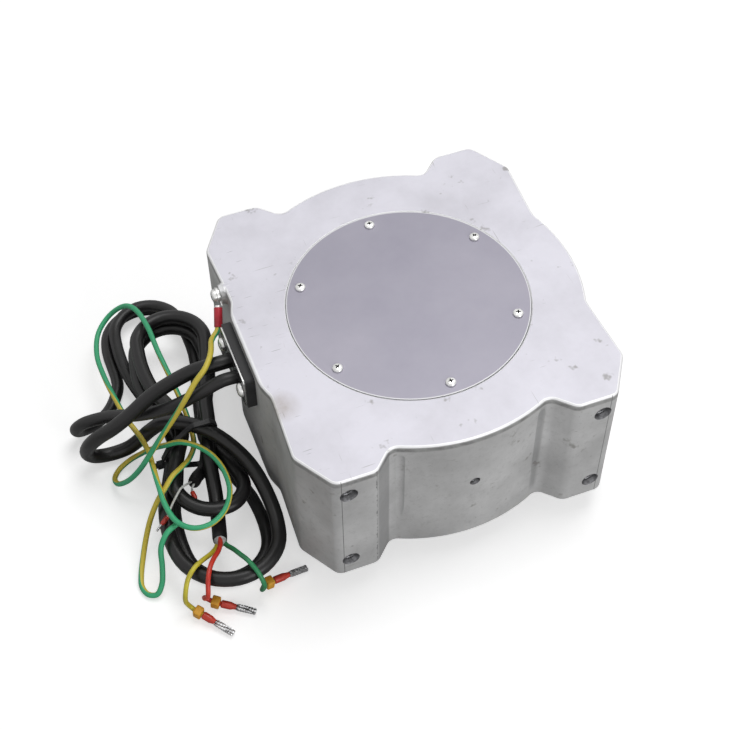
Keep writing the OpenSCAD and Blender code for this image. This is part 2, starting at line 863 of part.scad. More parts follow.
module encoder_board() {
    color([0.1, 0.36, 0.2])
    translate([0, 0, board_z]) difference() {
        union() {
            cylinder(r = board_r, h = board_t);
            for (p = part_shares)
                translate([p[0] * board_r, p[1] * board_r, board_t]) cube([part_w, part_w, part_t]);
            translate([-chip_w / 2, -chip_w / 2, -chip_t]) cube([chip_w, chip_w, chip_t]);
        }
        translate([0, 0, -over]) each_post()
            cylinder(d = board_screw_d + 2 * hole_play, h = board_t + 2 * over);
    }
}

module board_plug() {
    color([0.93, 0.92, 0.88])
    translate([plug_x, signal_y - plug_w / 2, board_z - plug_h]) cube([plug_l, plug_w, plug_h]);
}

module board_posts() {
    color([0.78, 0.66, 0.35])
    each_post() difference() {
        union() {
            translate([0, 0, well_floor_z]) cylinder(d = post_d, h = board_z - well_floor_z, $fn = 6);
            translate([0, 0, well_floor_z - post_stud]) cylinder(d = post_stud_d, h = post_stud);
        }
        translate([0, 0, board_z - board_screw_l])
            cylinder(d = board_screw_d + 2 * seat, h = board_screw_l + over);
    }
}

module board_screws() {
    color([0.85, 0.85, 0.83])
    translate([0, 0, board_z + board_t]) each_post()
        pan_screw(board_screw_d, board_screw_l, 2 * board_screw_d, board_screw_d / 2);
}

module signal_wires() {
    color([0.85, 0.8, 0.3])
    for (i = [-1.5 : 1 : 1.5]) {
        y = signal_y + i * signal_wire_dy;
        a = [signal_in_x, y, cable_z];
        b = [signal_in_x + (plug_x - signal_in_x) / 2, y, cable_z];
        c = [b.x, y, board_z - plug_h / 2];
        d = [plug_x, y, board_z - plug_h / 2];
        rod(a, b, signal_wire_d);
        translate(b) sphere(d = signal_wire_d * knee_share, $fn = 24);
        rod(b, c, signal_wire_d);
        translate(c) sphere(d = signal_wire_d * knee_share, $fn = 24);
        rod(c, d, signal_wire_d);
    }
}

module inner_cables() {
    color([0.1, 0.1, 0.11]) {
        on_left(-stator_bore_r + stator_step + power_in_l, power_y, cable_z)
            cylinder(d = power_d, h = -clamp_x - stator_bore_r + stator_step + power_in_l);
        on_left(signal_in_x, signal_y, cable_z) cylinder(d = signal_d, h = -clamp_x + signal_in_x);
    }
}

// Cable clamp

module clamp_outline(w, h) {
    translate([0, clamp_y]) round_rect(h, w, clamp_r);
}

module clamp_block() {
    color([0.09, 0.09, 0.1])
    difference() {
        union() {
            on_left(-pad_x, 0, clamp_z) linear_extrude(clamp_block_t) clamp_outline(clamp_w, clamp_h);
            for (c = [[power_y, power_d], [signal_y, signal_d]])
                on_left(-pad_x + bush_l, c[0], cable_z) cylinder(d = c[1] + 2 * bush_wall, h = bush_l + over);
        }
        for (c = [[power_y, power_d], [signal_y, signal_d]])
            on_left(-pad_x + bush_l + over, c[0], cable_z)
                cylinder(d = c[1] + 2 * seat, h = bush_l + clamp_block_t + 3 * over);
        for (s = [-1, 1])
            on_left(-pad_x + over, clamp_y + s * clamp_screw_dy, clamp_z)
                cylinder(d = clamp_screw_d + 2 * hole_play, h = clamp_block_t + 2 * over);
    }
}

module clamp_plate() {
    color([0.3, 0.3, 0.31])
    difference() {
        on_left(-pad_x - clamp_block_t, 0, clamp_z) linear_extrude(clamp_plate_t)
            clamp_outline(clamp_w - 2 * clamp_margin, clamp_h - 2 * clamp_margin);
        for (c = [[power_y, power_d], [signal_y, signal_d]])
            on_left(-pad_x, c[0], cable_z) cylinder(d = c[1] + 2 * hole_play, h = clamp_block_t + 2 * over);
        for (s = [-1, 1])
            on_left(-pad_x, clamp_y + s * clamp_screw_dy, clamp_z)
                cylinder(d = clamp_screw_d + 2 * hole_play, h = clamp_block_t + 2 * over);
    }
}

module clamp_screws() {
    color([0.82, 0.82, 0.8])
    for (s = [-1, 1])
        on_left(clamp_x, clamp_y + s * clamp_screw_dy, clamp_z)
            pan_screw(clamp_screw_d, clamp_screw_l, clamp_head_d, clamp_head_h);
}

// Earth terminal

module at_earth(lift) {
    on_left(earth_x - lift, earth_y, earth_z) children();
}

module earth_screw() {
    color([0.84, 0.84, 0.82])
    at_earth(tongue_t + earth_washer_t) pan_screw(earth_screw_d, earth_screw_l, earth_head_d, earth_head_h);
}

module earth_washer() {
    color([0.7, 0.7, 0.7])
    at_earth(tongue_t) ring(earth_washer_d / 2, earth_screw_d / 2 + hole_play, earth_washer_t);
}

// Frame of the terminal: x runs along the barrel, z out of the casting
module terminal_frame() {
    at_earth(0) rotate(-90 - earth_down) children();
}

module ring_terminal() {
    color([0.75, 0.75, 0.75])
    terminal_frame() difference() {
        union() {
            cylinder(d = tongue_d, h = tongue_t);
            translate([0, -tongue_neck / 2, 0]) cube([barrel_from + over, tongue_neck, tongue_t]);
            translate([barrel_from, 0, sleeve_d / 2]) rotate([0, 90 - earth_out, 0])
                cylinder(d = barrel_d, h = barrel_l);
        }
        translate([0, 0, -over]) cylinder(d = earth_screw_d + 2 * hole_play, h = 3 * over);
    }
}

module terminal_sleeve() {
    color([0.78, 0.16, 0.25])
    terminal_frame() translate([barrel_from, 0, sleeve_d / 2]) rotate([0, 90 - earth_out, 0])
        translate([0, 0, over]) ring(sleeve_d / 2, barrel_d / 2 + seat, barrel_l);
}

// Cables: route points, chosen by hand, from the clamp to the free end

// Smooth path through the points, with k rings a step
function knot(a, b) = sqrt(norm(b - a));
function through(a, b, c, d, u) =
    let (
        t1 = knot(a, b), t2 = t1 + knot(b, c), t3 = t2 + knot(c, d), t = t1 + (t2 - t1) * u,
        p = a * (t1 - t) / t1 + b * t / t1,
        q = b * (t2 - t) / (t2 - t1) + c * (t - t1) / (t2 - t1),
        r = c * (t3 - t) / (t3 - t2) + d * (t - t2) / (t3 - t2),
        m = p * (t2 - t) / t2 + q * t / t2,
        n = q * (t3 - t) / (t3 - t1) + r * (t - t1) / (t3 - t1)
    )
    m * (t2 - t) / (t2 - t1) + n * (t - t1) / (t2 - t1);
function smooth(p, k) =
    let (e = len(p) - 1, q = concat([2 * p[0] - p[1]], p, [2 * p[e] - p[e - 1]]))
    concat(
        [for (i = [1 : e], j = [0 : k - 1]) through(q[i - 1], q[i], q[i + 1], q[i + 2], j / k)],
        [p[e]]
    );

// Hank: loops that lie in a figure drawn in at the waist. They spiral in to the reversing
// loop and out again, and climb one layer there. t counts loops from the waist's right side
function at(h, name) = h[search([name], h)[0]][1];
function squeeze(y, waist, half) = pow(cos(90 * max(-1, min(1, (y - waist) / half))), 2);
function loop_point(h, t) =
    let (
        grow = at(h, "step") * (abs(t - at(h, "turn")) - abs(at(h, "first") - at(h, "turn"))),
        z = at(h, "floor") + at(h, "climb") * max(0, min(1, 2 * (t - at(h, "turn")) + 0.5)),
        k = t - floor(t), yw = at(h, "waist"), yt = at(h, "top"), y0 = at(h, "bottom"),
        yb = y0 + at(h, "draw") * (t - at(h, "first")),
        y = k < 1 / 8 ? yw + (yb - yw) * k * 8
          : k < 3 / 8 ? yb
          : k < 5 / 8 ? yb + (yt - yb) * (k - 3 / 8) * 4
          : k < 7 / 8 ? yt
          : yt + (yw - yt) * (k - 7 / 8) * 8,
        q = (y - y0) / (yt - y0),
        w = at(h, "bottom_w") + (at(h, "top_w") - at(h, "bottom_w")) * q + grow,
        c = at(h, "bottom_x") + (at(h, "top_x") - at(h, "bottom_x")) * q,
        half = y < yw ? min(at(h, "waist_half"), yw - yb) : at(h, "waist_half"),
        side = k < 1 / 4 || k > 3 / 4 ? 1 : -1,
        a = k < 1 / 2 ? (k - 1 / 8) * 720 : (k - 5 / 8) * 720
    )
    k >= 1 / 8 && k < 3 / 8 ? [c + w * cos(a), y - w * sin(a), z]
    : k >= 5 / 8 && k < 7 / 8 ? [c - w * cos(a), y + w * sin(a), z]
    : [c + side * (w - at(h, "pinch") * squeeze(y, yw, half)), y, z];
function loop_points(h, n = 24) =
    [for (i = [0 : round((at(h, "last") - at(h, "first")) * n)]) loop_point(h, at(h, "first") + i / n)];

// Least gap between two stretches of one hank that aren't neighbours
function least_gap(h, d) =
    let (p = loop_points(h, 96))
    min([for (i = [0 : len(p) - 1]) for (j = [i + 12 : 1 : len(p) - 1]) norm(p[i] - p[j])]) - d;

power_loops = [
    ["top_x", -117], ["bottom_x", -125], ["top", 76], ["bottom", -55], ["waist", 16], ["waist_half", 44],
    ["top_w", 26], ["bottom_w", 29.5], ["pinch", 12], ["step", 10.4], ["floor", 19.8], ["climb", 9.6],
    ["turn", 5 / 4], ["first", 1 / 8], ["last", 15 / 8], ["draw", 30]
];
signal_loops = [
    ["top_x", -125], ["bottom_x", -124], ["top", 104], ["bottom", -52], ["waist", 24], ["waist_half", 55],
    ["top_w", 25], ["bottom_w", 28], ["pinch", 13], ["step", 8], ["floor", 3.8], ["climb", 7.8],
    ["turn", 3 / 2], ["first", 7 / 12], ["last", 2], ["draw", 8]
];
power_lead = [
    [-96, 10.8, 82], [-104, 10.8, 82], [-116, 13, 79], [-128, 16, 71], [-140, 18, 62], [-152, 18, 52],
    [-163, 19, 43], [-171, 22, 35], [-177, 25, 26], [-179, 28, 16], [-175, 30, 8], [-166, 31, 4.4],
    [-157, 30, 6.5], [-150, 27.5, 14], [-143, 24.5, 24], [-135, 20, 33.5], [-125, 12, 38.2],
    [-115, 3, 38.4], [-106, -8, 35], [-99, -21, 30], [-95.5, -36, 24]
];
power_end = [
    [-100, 58, 29.4], [-105, 43, 29.4], [-109, 29, 29.4], [-112, 14, 29.4], [-115, 4, 29.2],
    [-118, -6, 26.4], [-119.5, -16, 21.5], [-121, -26, 17.5], [-123, -35, 15.4], [-125, -44, 15.4],
    [-127, -53, 17.5]
];
signal_lead = [
    [-96, -0.8, 82], [-104, -0.8, 82], [-115, 0, 77], [-127, 5, 66], [-138, 14, 53], [-149, 24, 42],
    [-160, 33, 35], [-168, 38, 30], [-176, 42, 24.5], [-181, 46, 16], [-179, 50, 8], [-171, 54, 4.2],
    [-161, 60, 3.8], [-154, 69, 3.8]
];
signal_end = [[-115, 14, 11.7], [-118, 4, 12.6], [-122, -5, 15], [-127, -11, 19], [-130, -16, 22]];
earth_lead = [
    [-95.2, 32.5, 85.7], [-96.9, 29.8, 84.6], [-99.9, 27, 84.2], [-102, 23.4, 85.2], [-103.2, 19, 87.1],
    [-104.7, 14.2, 88.8], [-107, 9.5, 89.6], [-111, 4.5, 88.9], [-117, 1.5, 85], [-124, -1.5, 77.5],
    [-131, -2, 66.5], [-140, -1.5, 52], [-148, -1, 38.5], [-156, 0, 25]
];
earth_round = [
    [-163, 3, 14.5], [-168, 8, 7.5], [-168.5, 15, 3.6], [-164.5, 20.5, 2.6], [-158, 22.5, 5],
    [-151, 19, 13], [-144, 11.5, 25], [-138, 4, 35], [-131, 0, 39.5], [-123, -6, 39.5],
    [-117, -14, 38], [-114, -25, 36.5], [-115, -37, 35.5], [-121, -47, 35], [-130, -52, 34.5],
    [-139, -51, 34], [-146, -44, 33.4], [-149, -32, 33.4], [-149, -18, 33.6], [-148.5, -6, 32.6],
    [-148, 6, 30.5], [-149, 17, 28], [-151, 28, 25], [-153, 40, 20], [-155, 56, 18], [-157, 74, 18],
    [-157, 92, 18], [-152, 107, 19], [-143, 114, 23], [-134, 111, 31], [-129, 101, 37],
    [-126, 86, 38], [-125, 66, 36.5], [-123, 48, 32], [-121.5, 32, 28], [-121.5, 18, 25.5],
    [-123, 6, 25.5], [-128, -4, 28.5], [-134, -11, 32.5], [-140.5, -16, 34.2], [-146, -20, 31.2],
    [-151, -23, 27.6], [-157, -27, 20], [-162, -32, 12], [-167, -40, 5.5], [-171, -49, 2.4],
    [-172.5, -56, 2], [-170.6, -61.6, 2], [-166.3, -63.8, 3], [-162.4, -61, 7], [-159.8, -55.5, 14],
    [-157.5, -49, 23], [-152.5, -45, 28], [-146.5, -42, 28.5]
];
red_points = [
    [-126.9, -52.6, 19.4], [-127.5, -56, 20.2], [-130, -61.5, 22.5], [-134, -67, 25.5], [-137.5, -72.5, 27.4],
    [-140.5, -78.5, 26.2], [-142.8, -84, 20], [-144.2, -81.6, 14.5], [-144, -78.4, 10], [-143, -77.5, 6.8],
    [-140.6, -79.1, 5.1], [-136.5, -82, 4.6]
];
yellow_points = [
    [-128.6, -52.9, 16.6], [-129.8, -56, 17.6], [-134, -61, 21], [-139.5, -65.5, 25], [-145, -69.5, 27],
    [-150, -74, 25.5], [-153.5, -79, 19.5], [-154, -79.4, 14], [-153.3, -78.8, 9.8],
    [-152.2, -79, 6.8], [-150.2, -81.2, 5], [-147.2, -84.9, 4.6]
];
green_points = [
    [-125.4, -53.5, 16.6], [-124.6, -57, 17.8], [-122.5, -63, 22], [-120.5, -70, 26.5], [-118, -76, 28.2],
    [-115, -82.5, 25], [-113.4, -87, 17.5], [-114.6, -85, 10.5], [-111.5, -80.6, 6.9], [-106.5, -79.6, 6]
];
core_tips = [
    [[-136.5, -82, 4.6], [-129.6, -86.1, 3.5], [-120.4, -92, 2.4]],
    [[-147.2, -84.9, 4.6], [-142.5, -90.7, 3.6], [-135.2, -100, 2.4]],
    [[-106.5, -79.6, 6], [-97.6, -78.2, 4.6], [-86.8, -76.7, 2.6]]
];
marker_at = [
    [[-140.7, -79, 5.1], [-137.1, -81.6, 4.7]], [[-150.4, -81, 5], [-147.7, -84.3, 4.7]],
    [[-111.4, -80.5, 6.9], [-107.2, -79.7, 6.1]]
];
long_wire = [
    [-131.5, -16, 23.4], [-134, -19.5, 28], [-138.5, -24, 32.4], [-143.5, -28.5, 30.6], [-147.5, -32, 27.6],
    [-149.5, -34.5, 26.4]
];
short_wire = [[-130.2, -17.2, 22.4], [-131.9, -19.5, 22.8], [-132.6, -22, 23]];
wire_tips = [
    [[-132.6, -22, 23], [-131.9, -27, 22.9], [-131.6, -29.8, 22.8]],
    [[-149.5, -34.5, 26.4], [-153.8, -37.5, 25.4], [-157.2, -39.9, 24.6]]
];
tie_points = [
    [-140.8, 22], [-140.8, 18], [-137.8, 14.4], [-123, 8.6], [-114.5, 8.6], [-109, 14], [-108, 21],
    [-109.2, 31], [-110.2, 40], [-113, 43.2], [-121.5, 43.4], [-125, 41.5], [-136.6, 30.5]
];
tie_y = 3;
tie_w = 3;
tie_t = 1.2;
tie_r = 1.5;
tie_head = 4.4;
tie_tail = 8;
core_sleeve_d = 4.2;
pin_w = 3.4;
pin_t = 2;
marker_w = 5.6;
marker_gap = 0.5;
thin_wire_d = 1.2;
ferrule_d = 2.6;
ferrule_pin_d = 1.2;

// Frames carried along a path without twist
function tangents(p) =
    let (e = len(p) - 1)
    [for (i = [0 : e]) let (v = p[min(e, i + 1)] - p[max(0, i - 1)]) v / norm(v)];
function level(v, t) = let (w = v - (v * t) * t) w / norm(w);
function normals(t) =
    [for (i = 0, n = level([0.1, 0.2, 1], t[0]); i < len(t);
        i = i + 1, n = i < len(t) ? level(n, t[i]) : n) n];

// Tube along rings a to b of a path
module tube(p, d, sides, a, b) {
    t = tangents(p);
    n = normals(t);
    rings = [for (i = [a : b], k = [0 : sides - 1])
        let (w = 360 * k / sides) p[i] + (n[i] * cos(w) + cross(t[i], n[i]) * sin(w)) * d / 2];
    m = b - a;
    polyhedron(
        points = rings,
        faces = concat(
            [[for (k = [0 : sides - 1]) k]],
            [[for (k = [sides - 1 : -1 : 0]) m * sides + k]],
            [for (i = [0 : m - 1], k = [0 : sides - 1])
                let (u = i * sides + k, v = i * sides + (k + 1) % sides)
                [u, u + sides, v + sides, v]]
        ),
        convexity = 10
    );
}

// Whole route: two rings a step on the free stretches, the loops' own rings between them
function route(lead, loops, end) =
    let (p = smooth(concat(lead, loops, end), 2), a = 2 * len(lead), b = 2 * (len(lead) + len(loops) - 1))
    [for (i = [0 : len(p) - 1]) if (i < a || i > b || i % 2 == 0) p[i]];

power_path = route(power_lead, loop_points(power_loops), power_end);
power_a = 2 * len(power_lead);
power_b = power_a + len(loop_points(power_loops)) - 1;
signal_path = route(signal_lead, loop_points(signal_loops), signal_end);
signal_a = 2 * len(signal_lead);
signal_b = signal_a + len(loop_points(signal_loops)) - 1;
earth_path = smooth(concat(earth_lead, earth_round), 2);
earth_a = 2 * len(earth_lead);
loop_sides = 6;
cord_sides = 8;

echo(power_hank_least_gap = least_gap(power_loops, power_d));
echo(signal_hank_least_gap = least_gap(signal_loops, signal_d));

module power_cable() {
    color([0.1, 0.1, 0.11]) tube(power_path, power_d, cord_sides, 0, power_a);
}

module power_hank() {
    color([0.1, 0.1, 0.11]) tube(power_path, power_d, loop_sides, power_a, power_b);
}

module power_tail() {
    color([0.1, 0.1, 0.11]) tube(power_path, power_d, cord_sides, power_b, len(power_path) - 1);
}

module encoder_cable() {
    color([0.14, 0.14, 0.15]) tube(signal_path, signal_d, cord_sides, 0, signal_a);
}

module encoder_hank() {
    color([0.14, 0.14, 0.15]) tube(signal_path, signal_d, loop_sides, signal_a, signal_b);
}

module encoder_tail() {
    color([0.14, 0.14, 0.15]) tube(signal_path, signal_d, cord_sides, signal_b, len(signal_path) - 1);
}

module earth_wire() {
    color([0.3, 0.7, 0.4]) tube(earth_path, earth_d, loop_sides, 0, earth_a);
}

module earth_coil() {
    color([0.3, 0.7, 0.4]) tube(earth_path, earth_d, loop_sides, earth_a, len(earth_path) - 1);
}

// Cores, ferrules and markers at the free ends

// Puts a shape that points up at a, pointing to b
module along(a, b) {
    v = b - a;
    translate(a) rotate([0, acos(v.z / norm(v)), atan2(v.y, v.x)]) children();
}

module strand(points, d) {
    p = smooth(points, 2);
    tube(p, d, cord_sides, 0, len(p) - 1);
}

module red_core() {
    color([0.8, 0.15, 0.12]) strand(red_points, core_d);
}

module yellow_core() {
    color([0.9, 0.8, 0.2]) strand(yellow_points, core_d);
}

module green_core() {
    color([0.1, 0.5, 0.3]) strand(green_points, core_d);
}

module core_markers() {
    color([0.87, 0.6, 0.2])
    for (m = marker_at) along(m[0], m[1]) difference() {
        translate([-marker_w / 2, -marker_w / 2, 0]) cube([marker_w, marker_w, norm(m[1] - m[0])]);
        translate([0, 0, -over]) cylinder(d = core_d + 2 * marker_gap, h = norm(m[1] - m[0]) + 2 * over);
    }
}

module pin_sleeves() {
    color([0.85, 0.2, 0.2]) {
        for (t = core_tips) rod(t[0], t[1], core_sleeve_d);
        for (t = wire_tips) rod(t[0], t[1], ferrule_d);
    }
}

module pin_tips() {
    color([0.8, 0.8, 0.78]) {
        for (t = core_tips) along(t[1], t[2])
            translate([-pin_t / 2, -pin_w / 2, 0]) cube([pin_t, pin_w, norm(t[2] - t[1])]);
        for (t = wire_tips) rod(t[1], t[2], ferrule_pin_d);
    }
}

module encoder_cores() {
    color([0.92, 0.92, 0.9]) {
        strand(long_wire, thin_wire_d);
        strand(short_wire, thin_wire_d);
    }
}

// Outline with every side moved outwards by g
function grown(p, g) = [
    for (i = [0 : len(p) - 1])
        let (
            a = p[(i + len(p) - 1) % len(p)], b = p[i], c = p[(i + 1) % len(p)],
            u = (a - b) / norm(a - b), v = (c - b) / norm(c - b), m = (u + v) / norm(u + v)
        )
        b - m * g / sin(acos(u * v) / 2)
];

module cable_tie() {
    r = [for (p = tie_points) tie_r];
    color([0.12, 0.12, 0.13])
    translate([0, tie_y + tie_w, 0]) rotate([90, 0, 0]) linear_extrude(tie_w) difference() {
        union() {
            polygon(rounded(grown(tie_points, tie_t), r));
            translate([tie_points[1].x - tie_head, tie_points[1].y - tie_head / 2]) square(tie_head);
            translate([tie_points[1].x - tie_tail, tie_points[1].y - tie_t / 2]) square([tie_tail, tie_t]);
        }
        polygon(rounded(tie_points, r));
    }
}

housing();
rear_cover();
cover_gasket();
cover_screws();
end_shield();
shield_screws();
shaft_seal();
stator_core();
coil_bobbins();
stator_coils();
phase_leads();
front_bearing_outer();
front_bearing_inner();
front_balls();
front_cage();
rear_bearing_outer();
rear_bearing_inner();
rear_balls();
rear_cage();
bearing_circlip();
shaft_circlip();
wave_washer();
output_shaft();
shaft_key();
drive_pulley();
pulley_flanges();
grub_screws();
rotor_hub();
rotor_magnets();
magnet_holder();
encoder_magnet();
encoder_board();
board_plug();
board_posts();
board_screws();
signal_wires();
inner_cables();
clamp_block();
clamp_plate();
clamp_screws();
earth_screw();
earth_washer();
ring_terminal();
terminal_sleeve();
power_cable();
power_hank();
power_tail();
encoder_cable();
encoder_hank();
encoder_tail();
earth_wire();
earth_coil();
red_core();
yellow_core();
green_core();
core_markers();
pin_sleeves();
pin_tips();
encoder_cores();
cable_tie();
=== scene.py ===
import math
import bpy
import numpy as np
from mathutils import Matrix, Vector


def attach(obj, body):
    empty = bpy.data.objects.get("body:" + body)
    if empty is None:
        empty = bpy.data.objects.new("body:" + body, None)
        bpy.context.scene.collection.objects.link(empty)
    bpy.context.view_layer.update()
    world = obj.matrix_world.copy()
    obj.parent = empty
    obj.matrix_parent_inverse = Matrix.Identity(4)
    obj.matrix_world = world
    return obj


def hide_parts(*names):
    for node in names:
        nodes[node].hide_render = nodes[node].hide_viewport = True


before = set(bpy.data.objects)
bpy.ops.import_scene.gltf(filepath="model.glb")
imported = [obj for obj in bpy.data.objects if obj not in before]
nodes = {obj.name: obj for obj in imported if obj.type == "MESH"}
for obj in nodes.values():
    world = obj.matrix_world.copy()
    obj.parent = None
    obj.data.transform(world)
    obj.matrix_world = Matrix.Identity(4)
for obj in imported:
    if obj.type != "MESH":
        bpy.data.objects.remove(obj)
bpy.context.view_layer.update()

# Table, lamps and camera: a white sweep under a wide soft box, with the motor seen
# from above its drilled front, the cable side on the left. The floor keeps the
# motor's shadow, and metal sees the same white room as the camera.
photo_width = 730
focal_pixels = 1469.4
cover_radius = 0.064
top_level = 0.101
azimuth, elevation, roll = math.radians(-19.85), math.radians(52.24), math.radians(-0.99)
aim_point, distance = Vector((-0.564, -0.493, 0)), 11.596
back = Vector((math.sin(azimuth) * math.cos(elevation), -math.cos(azimuth) * math.cos(elevation),
               math.sin(elevation)))
level = Vector((math.cos(azimuth), math.sin(azimuth), 0))
rise = back.cross(level)
across = math.cos(roll) * level + math.sin(roll) * rise
upright = -math.sin(roll) * level + math.cos(roll) * rise

bpy.ops.object.select_all(action="DESELECT")
bpy.ops.object.camera_add()
camera = bpy.context.object
camera.name = "photo_camera"
# The camera was fitted to the photo in units of the cover's radius, about the centre of the top.
pose = Matrix((across, upright, back)).transposed().to_4x4()
pose.translation = (aim_point + back * distance) * cover_radius + Vector((0, 0, top_level))
camera.matrix_world = pose
camera.data.sensor_width = 36
camera.data.lens = camera.data.sensor_width * focal_pixels / photo_width
camera.data.clip_start = 0.01
camera.data.clip_end = 60
bpy.context.scene.camera = camera


def blank_material(name):
    """A new node material, with its tree and its surface shader."""
    material = bpy.data.materials.new(name)
    material.use_nodes = True
    return material, material.node_tree, material.node_tree.nodes["Principled BSDF"]


def feed(tree, value, socket):
    """Puts a number, a colour or the value of another socket into this one."""
    if isinstance(value, bpy.types.NodeSocket):
        tree.links.new(value, socket)
    elif socket.type == "RGBA" and len(value) == 3:
        socket.default_value = (*value, 1)
    else:
        socket.default_value = value


def fill(tree, node, **inputs):
    """Feeds the node's inputs by their names."""
    for key, value in inputs.items():
        feed(tree, value, node.inputs[key.replace("_", " ")])


def add(tree, kind, *values, **settings):
    """A node of that kind: settings are its own properties or named inputs, values its inputs in order."""
    node = tree.nodes.new(kind)
    for key, value in settings.items():
        if hasattr(node, key):
            setattr(node, key, value)
        else:
            fill(tree, node, **{key: value})
    for value, socket in zip(values, node.inputs):
        feed(tree, value, socket)
    return node


def reckoned(tree, operation, *values):
    """What a Math node makes of the values."""
    return add(tree, "ShaderNodeMath", *values, operation=operation).outputs[0]


def most(tree, value, *others):
    """The greatest of the values, which joins masks."""
    for other in others:
        value = reckoned(tree, "MAXIMUM", value, other)
    return value


def mapped(tree, value, low, high, to_low=0.0, to_high=1.0):
    """The value, with its range from low to high brought to another range."""
    return add(tree, "ShaderNodeMapRange", value, low, high, to_low, to_high).outputs[0]


def wear(piece, *materials):
    """Takes off what a piece was made in and gives it these materials."""
    piece.data.materials.clear()
    for material in materials:
        piece.data.materials.append(material)


bpy.ops.mesh.primitive_plane_add(size=14, location=(0, 0, 0))
floor = bpy.context.object
floor.name = "white_floor"
paper, tree, surface = blank_material("white_paper")
fill(tree, surface, Base_Color=(0.80, 0.80, 0.80), Roughness=1, Specular_IOR_Level=0)
ray = add(tree, "ShaderNodeLightPath").outputs
# The floor's glow for the camera is weaker near the motor, 0.52 within 0.35 m and rising to 0.9 at 1 m: a
# painted shade round it.
spot = add(tree, "ShaderNodeTexCoord").outputs["Object"]
away = add(tree, "ShaderNodeVectorMath", spot, operation="LENGTH").outputs["Value"]
glow_with_painted_shade = add(tree, "ShaderNodeEmission", Strength=mapped(tree, away, 0.35, 1.0, 0.52, 0.9))
both = add(tree, "ShaderNodeAddShader", surface.outputs[0], glow_with_painted_shade.outputs[0])
muted = add(tree, "ShaderNodeBsdfDiffuse", Color=(0.55, 0.55, 0.55))
thrown = add(tree, "ShaderNodeMixShader", ray["Is Diffuse Ray"], surface.outputs[0], muted.outputs[0])
seen = add(tree, "ShaderNodeMixShader", ray["Is Camera Ray"], thrown.outputs[0], both.outputs[0])
fill(tree, tree.nodes["Material Output"], Surface=seen.outputs[0])
wear(floor, paper)

world = bpy.data.worlds.new("studio")
bpy.context.scene.world = world
world.use_nodes = True
tree = world.node_tree
ray = add(tree, "ShaderNodeLightPath").outputs
shown = most(tree, ray["Is Camera Ray"], ray["Is Transmission Ray"], ray["Is Glossy Ray"])
fill(tree, tree.nodes["Background"], Color=(1, 1, 1), Strength=mapped(tree, shown, 0, 1, 0.25, 1))

for name, place, aim, size, watts in (
    ("soft_box_above", (0.36, 0.30, 1.45), (0, 0, 0.05), 0.9, 9.6),
    ("soft_box_left", (-0.9, -0.9, 0.7), (-0.05, -0.05, 0.04), 0.5, 0.15),
    ("soft_box_front", (0.42, -1.32, 0.6), (0, 0, 0.04), 0.8, 6.6),
):
    bpy.ops.object.light_add(type="AREA", location=place)
    lamp = bpy.context.object
    lamp.name = name
    lamp.data.shape = "SQUARE"
    lamp.data.size = size
    lamp.data.energy = watts
    lamp.rotation_euler = (Vector(aim) - Vector(place)).to_track_quat("-Z", "Y").to_euler()
bpy.context.scene.view_settings.view_transform = "Standard"


# Power cable: a round black sheath of 8 mm with three cores, about a metre long. It
# leaves the clamp, swings out and down, lies in a hank that is drawn in at the waist
# by a tie, and its cut end sticks out at the front of the hank.
def eased(points, k):
    """The smooth line that runs through all the points, with k steps between two."""
    p = np.array(points)
    q = np.vstack([2 * p[0] - p[1], p, 2 * p[-1] - p[-2]])
    line = []
    for i in range(1, len(p)):
        a, b, c, d = q[i - 1:i + 3]
        t1 = math.sqrt(np.linalg.norm(b - a))
        t2 = t1 + math.sqrt(np.linalg.norm(c - b))
        t3 = t2 + math.sqrt(np.linalg.norm(d - c))
        for j in range(k):
            t = t1 + (t2 - t1) * j / k
            e = a * (t1 - t) / t1 + b * t / t1
            f = b * (t2 - t) / (t2 - t1) + c * (t - t1) / (t2 - t1)
            g = c * (t3 - t) / (t3 - t2) + d * (t - t2) / (t3 - t2)
            m = e * (t2 - t) / t2 + f * t / t2
            n = f * (t3 - t) / (t3 - t1) + g * (t - t1) / (t3 - t1)
            line.append(m * (t2 - t) / (t2 - t1) + n * (t - t1) / (t2 - t1))
    line.append(p[-1])
    return np.array(line)


def looped(h, n=24):
    """Points of a hank whose loops spiral in to the reversing loop and out again."""
    points = []
    for i in range(round((h["last"] - h["first"]) * n) + 1):
        t = h["first"] + i / n
        grow = h["step"] * (abs(t - h["turn"]) - abs(h["first"] - h["turn"]))
        z = h["floor"] + h["climb"] * max(0, min(1, 2 * (t - h["turn"]) + 0.5))
        k = t - math.floor(t)
        yb = h["bottom"] + h["draw"] * (t - h["first"])
        yw, yt = h["waist"], h["top"]
        y = float(np.interp(k, (0, 1 / 8, 3 / 8, 5 / 8, 7 / 8, 1), (yw, yb, yb, yt, yt, yw)))
        q = (y - h["bottom"]) / (yt - h["bottom"])
        w = h["bottom_w"] + (h["top_w"] - h["bottom_w"]) * q + grow
        c = h["bottom_x"] + (h["top_x"] - h["bottom_x"]) * q
        if 1 / 8 <= k < 3 / 8 or 5 / 8 <= k < 7 / 8:
            end = 1 if k < 1 / 2 else -1
            a = math.radians((k - 1 / 8) * 720)
            points.append((c + end * w * math.cos(a), y - end * w * math.sin(a), z))
        else:
            side = 1 if k < 1 / 4 or k > 3 / 4 else -1
            half = min(h["waist_half"], yw - yb) if y < yw else h["waist_half"]
            drawn = math.cos(math.pi / 2 * max(-1, min(1, (y - yw) / half))) ** 2
            points.append((c + side * (w - h["pinch"] * drawn), y, z))
    return points


def choose(piece):
    """Selects that piece alone."""
    bpy.ops.object.select_all(action="DESELECT")
    piece.select_set(True)
    bpy.context.view_layer.objects.active = piece


def settle():
    """Applies the selected piece's place, turn and scale to its mesh."""
    bpy.ops.object.transform_apply(location=True, rotation=True, scale=True)


def shade(degrees):
    """Smooth shading on the selected piece, apart from edges sharper than that angle."""
    bpy.ops.object.shade_smooth_by_angle(angle=math.radians(degrees))


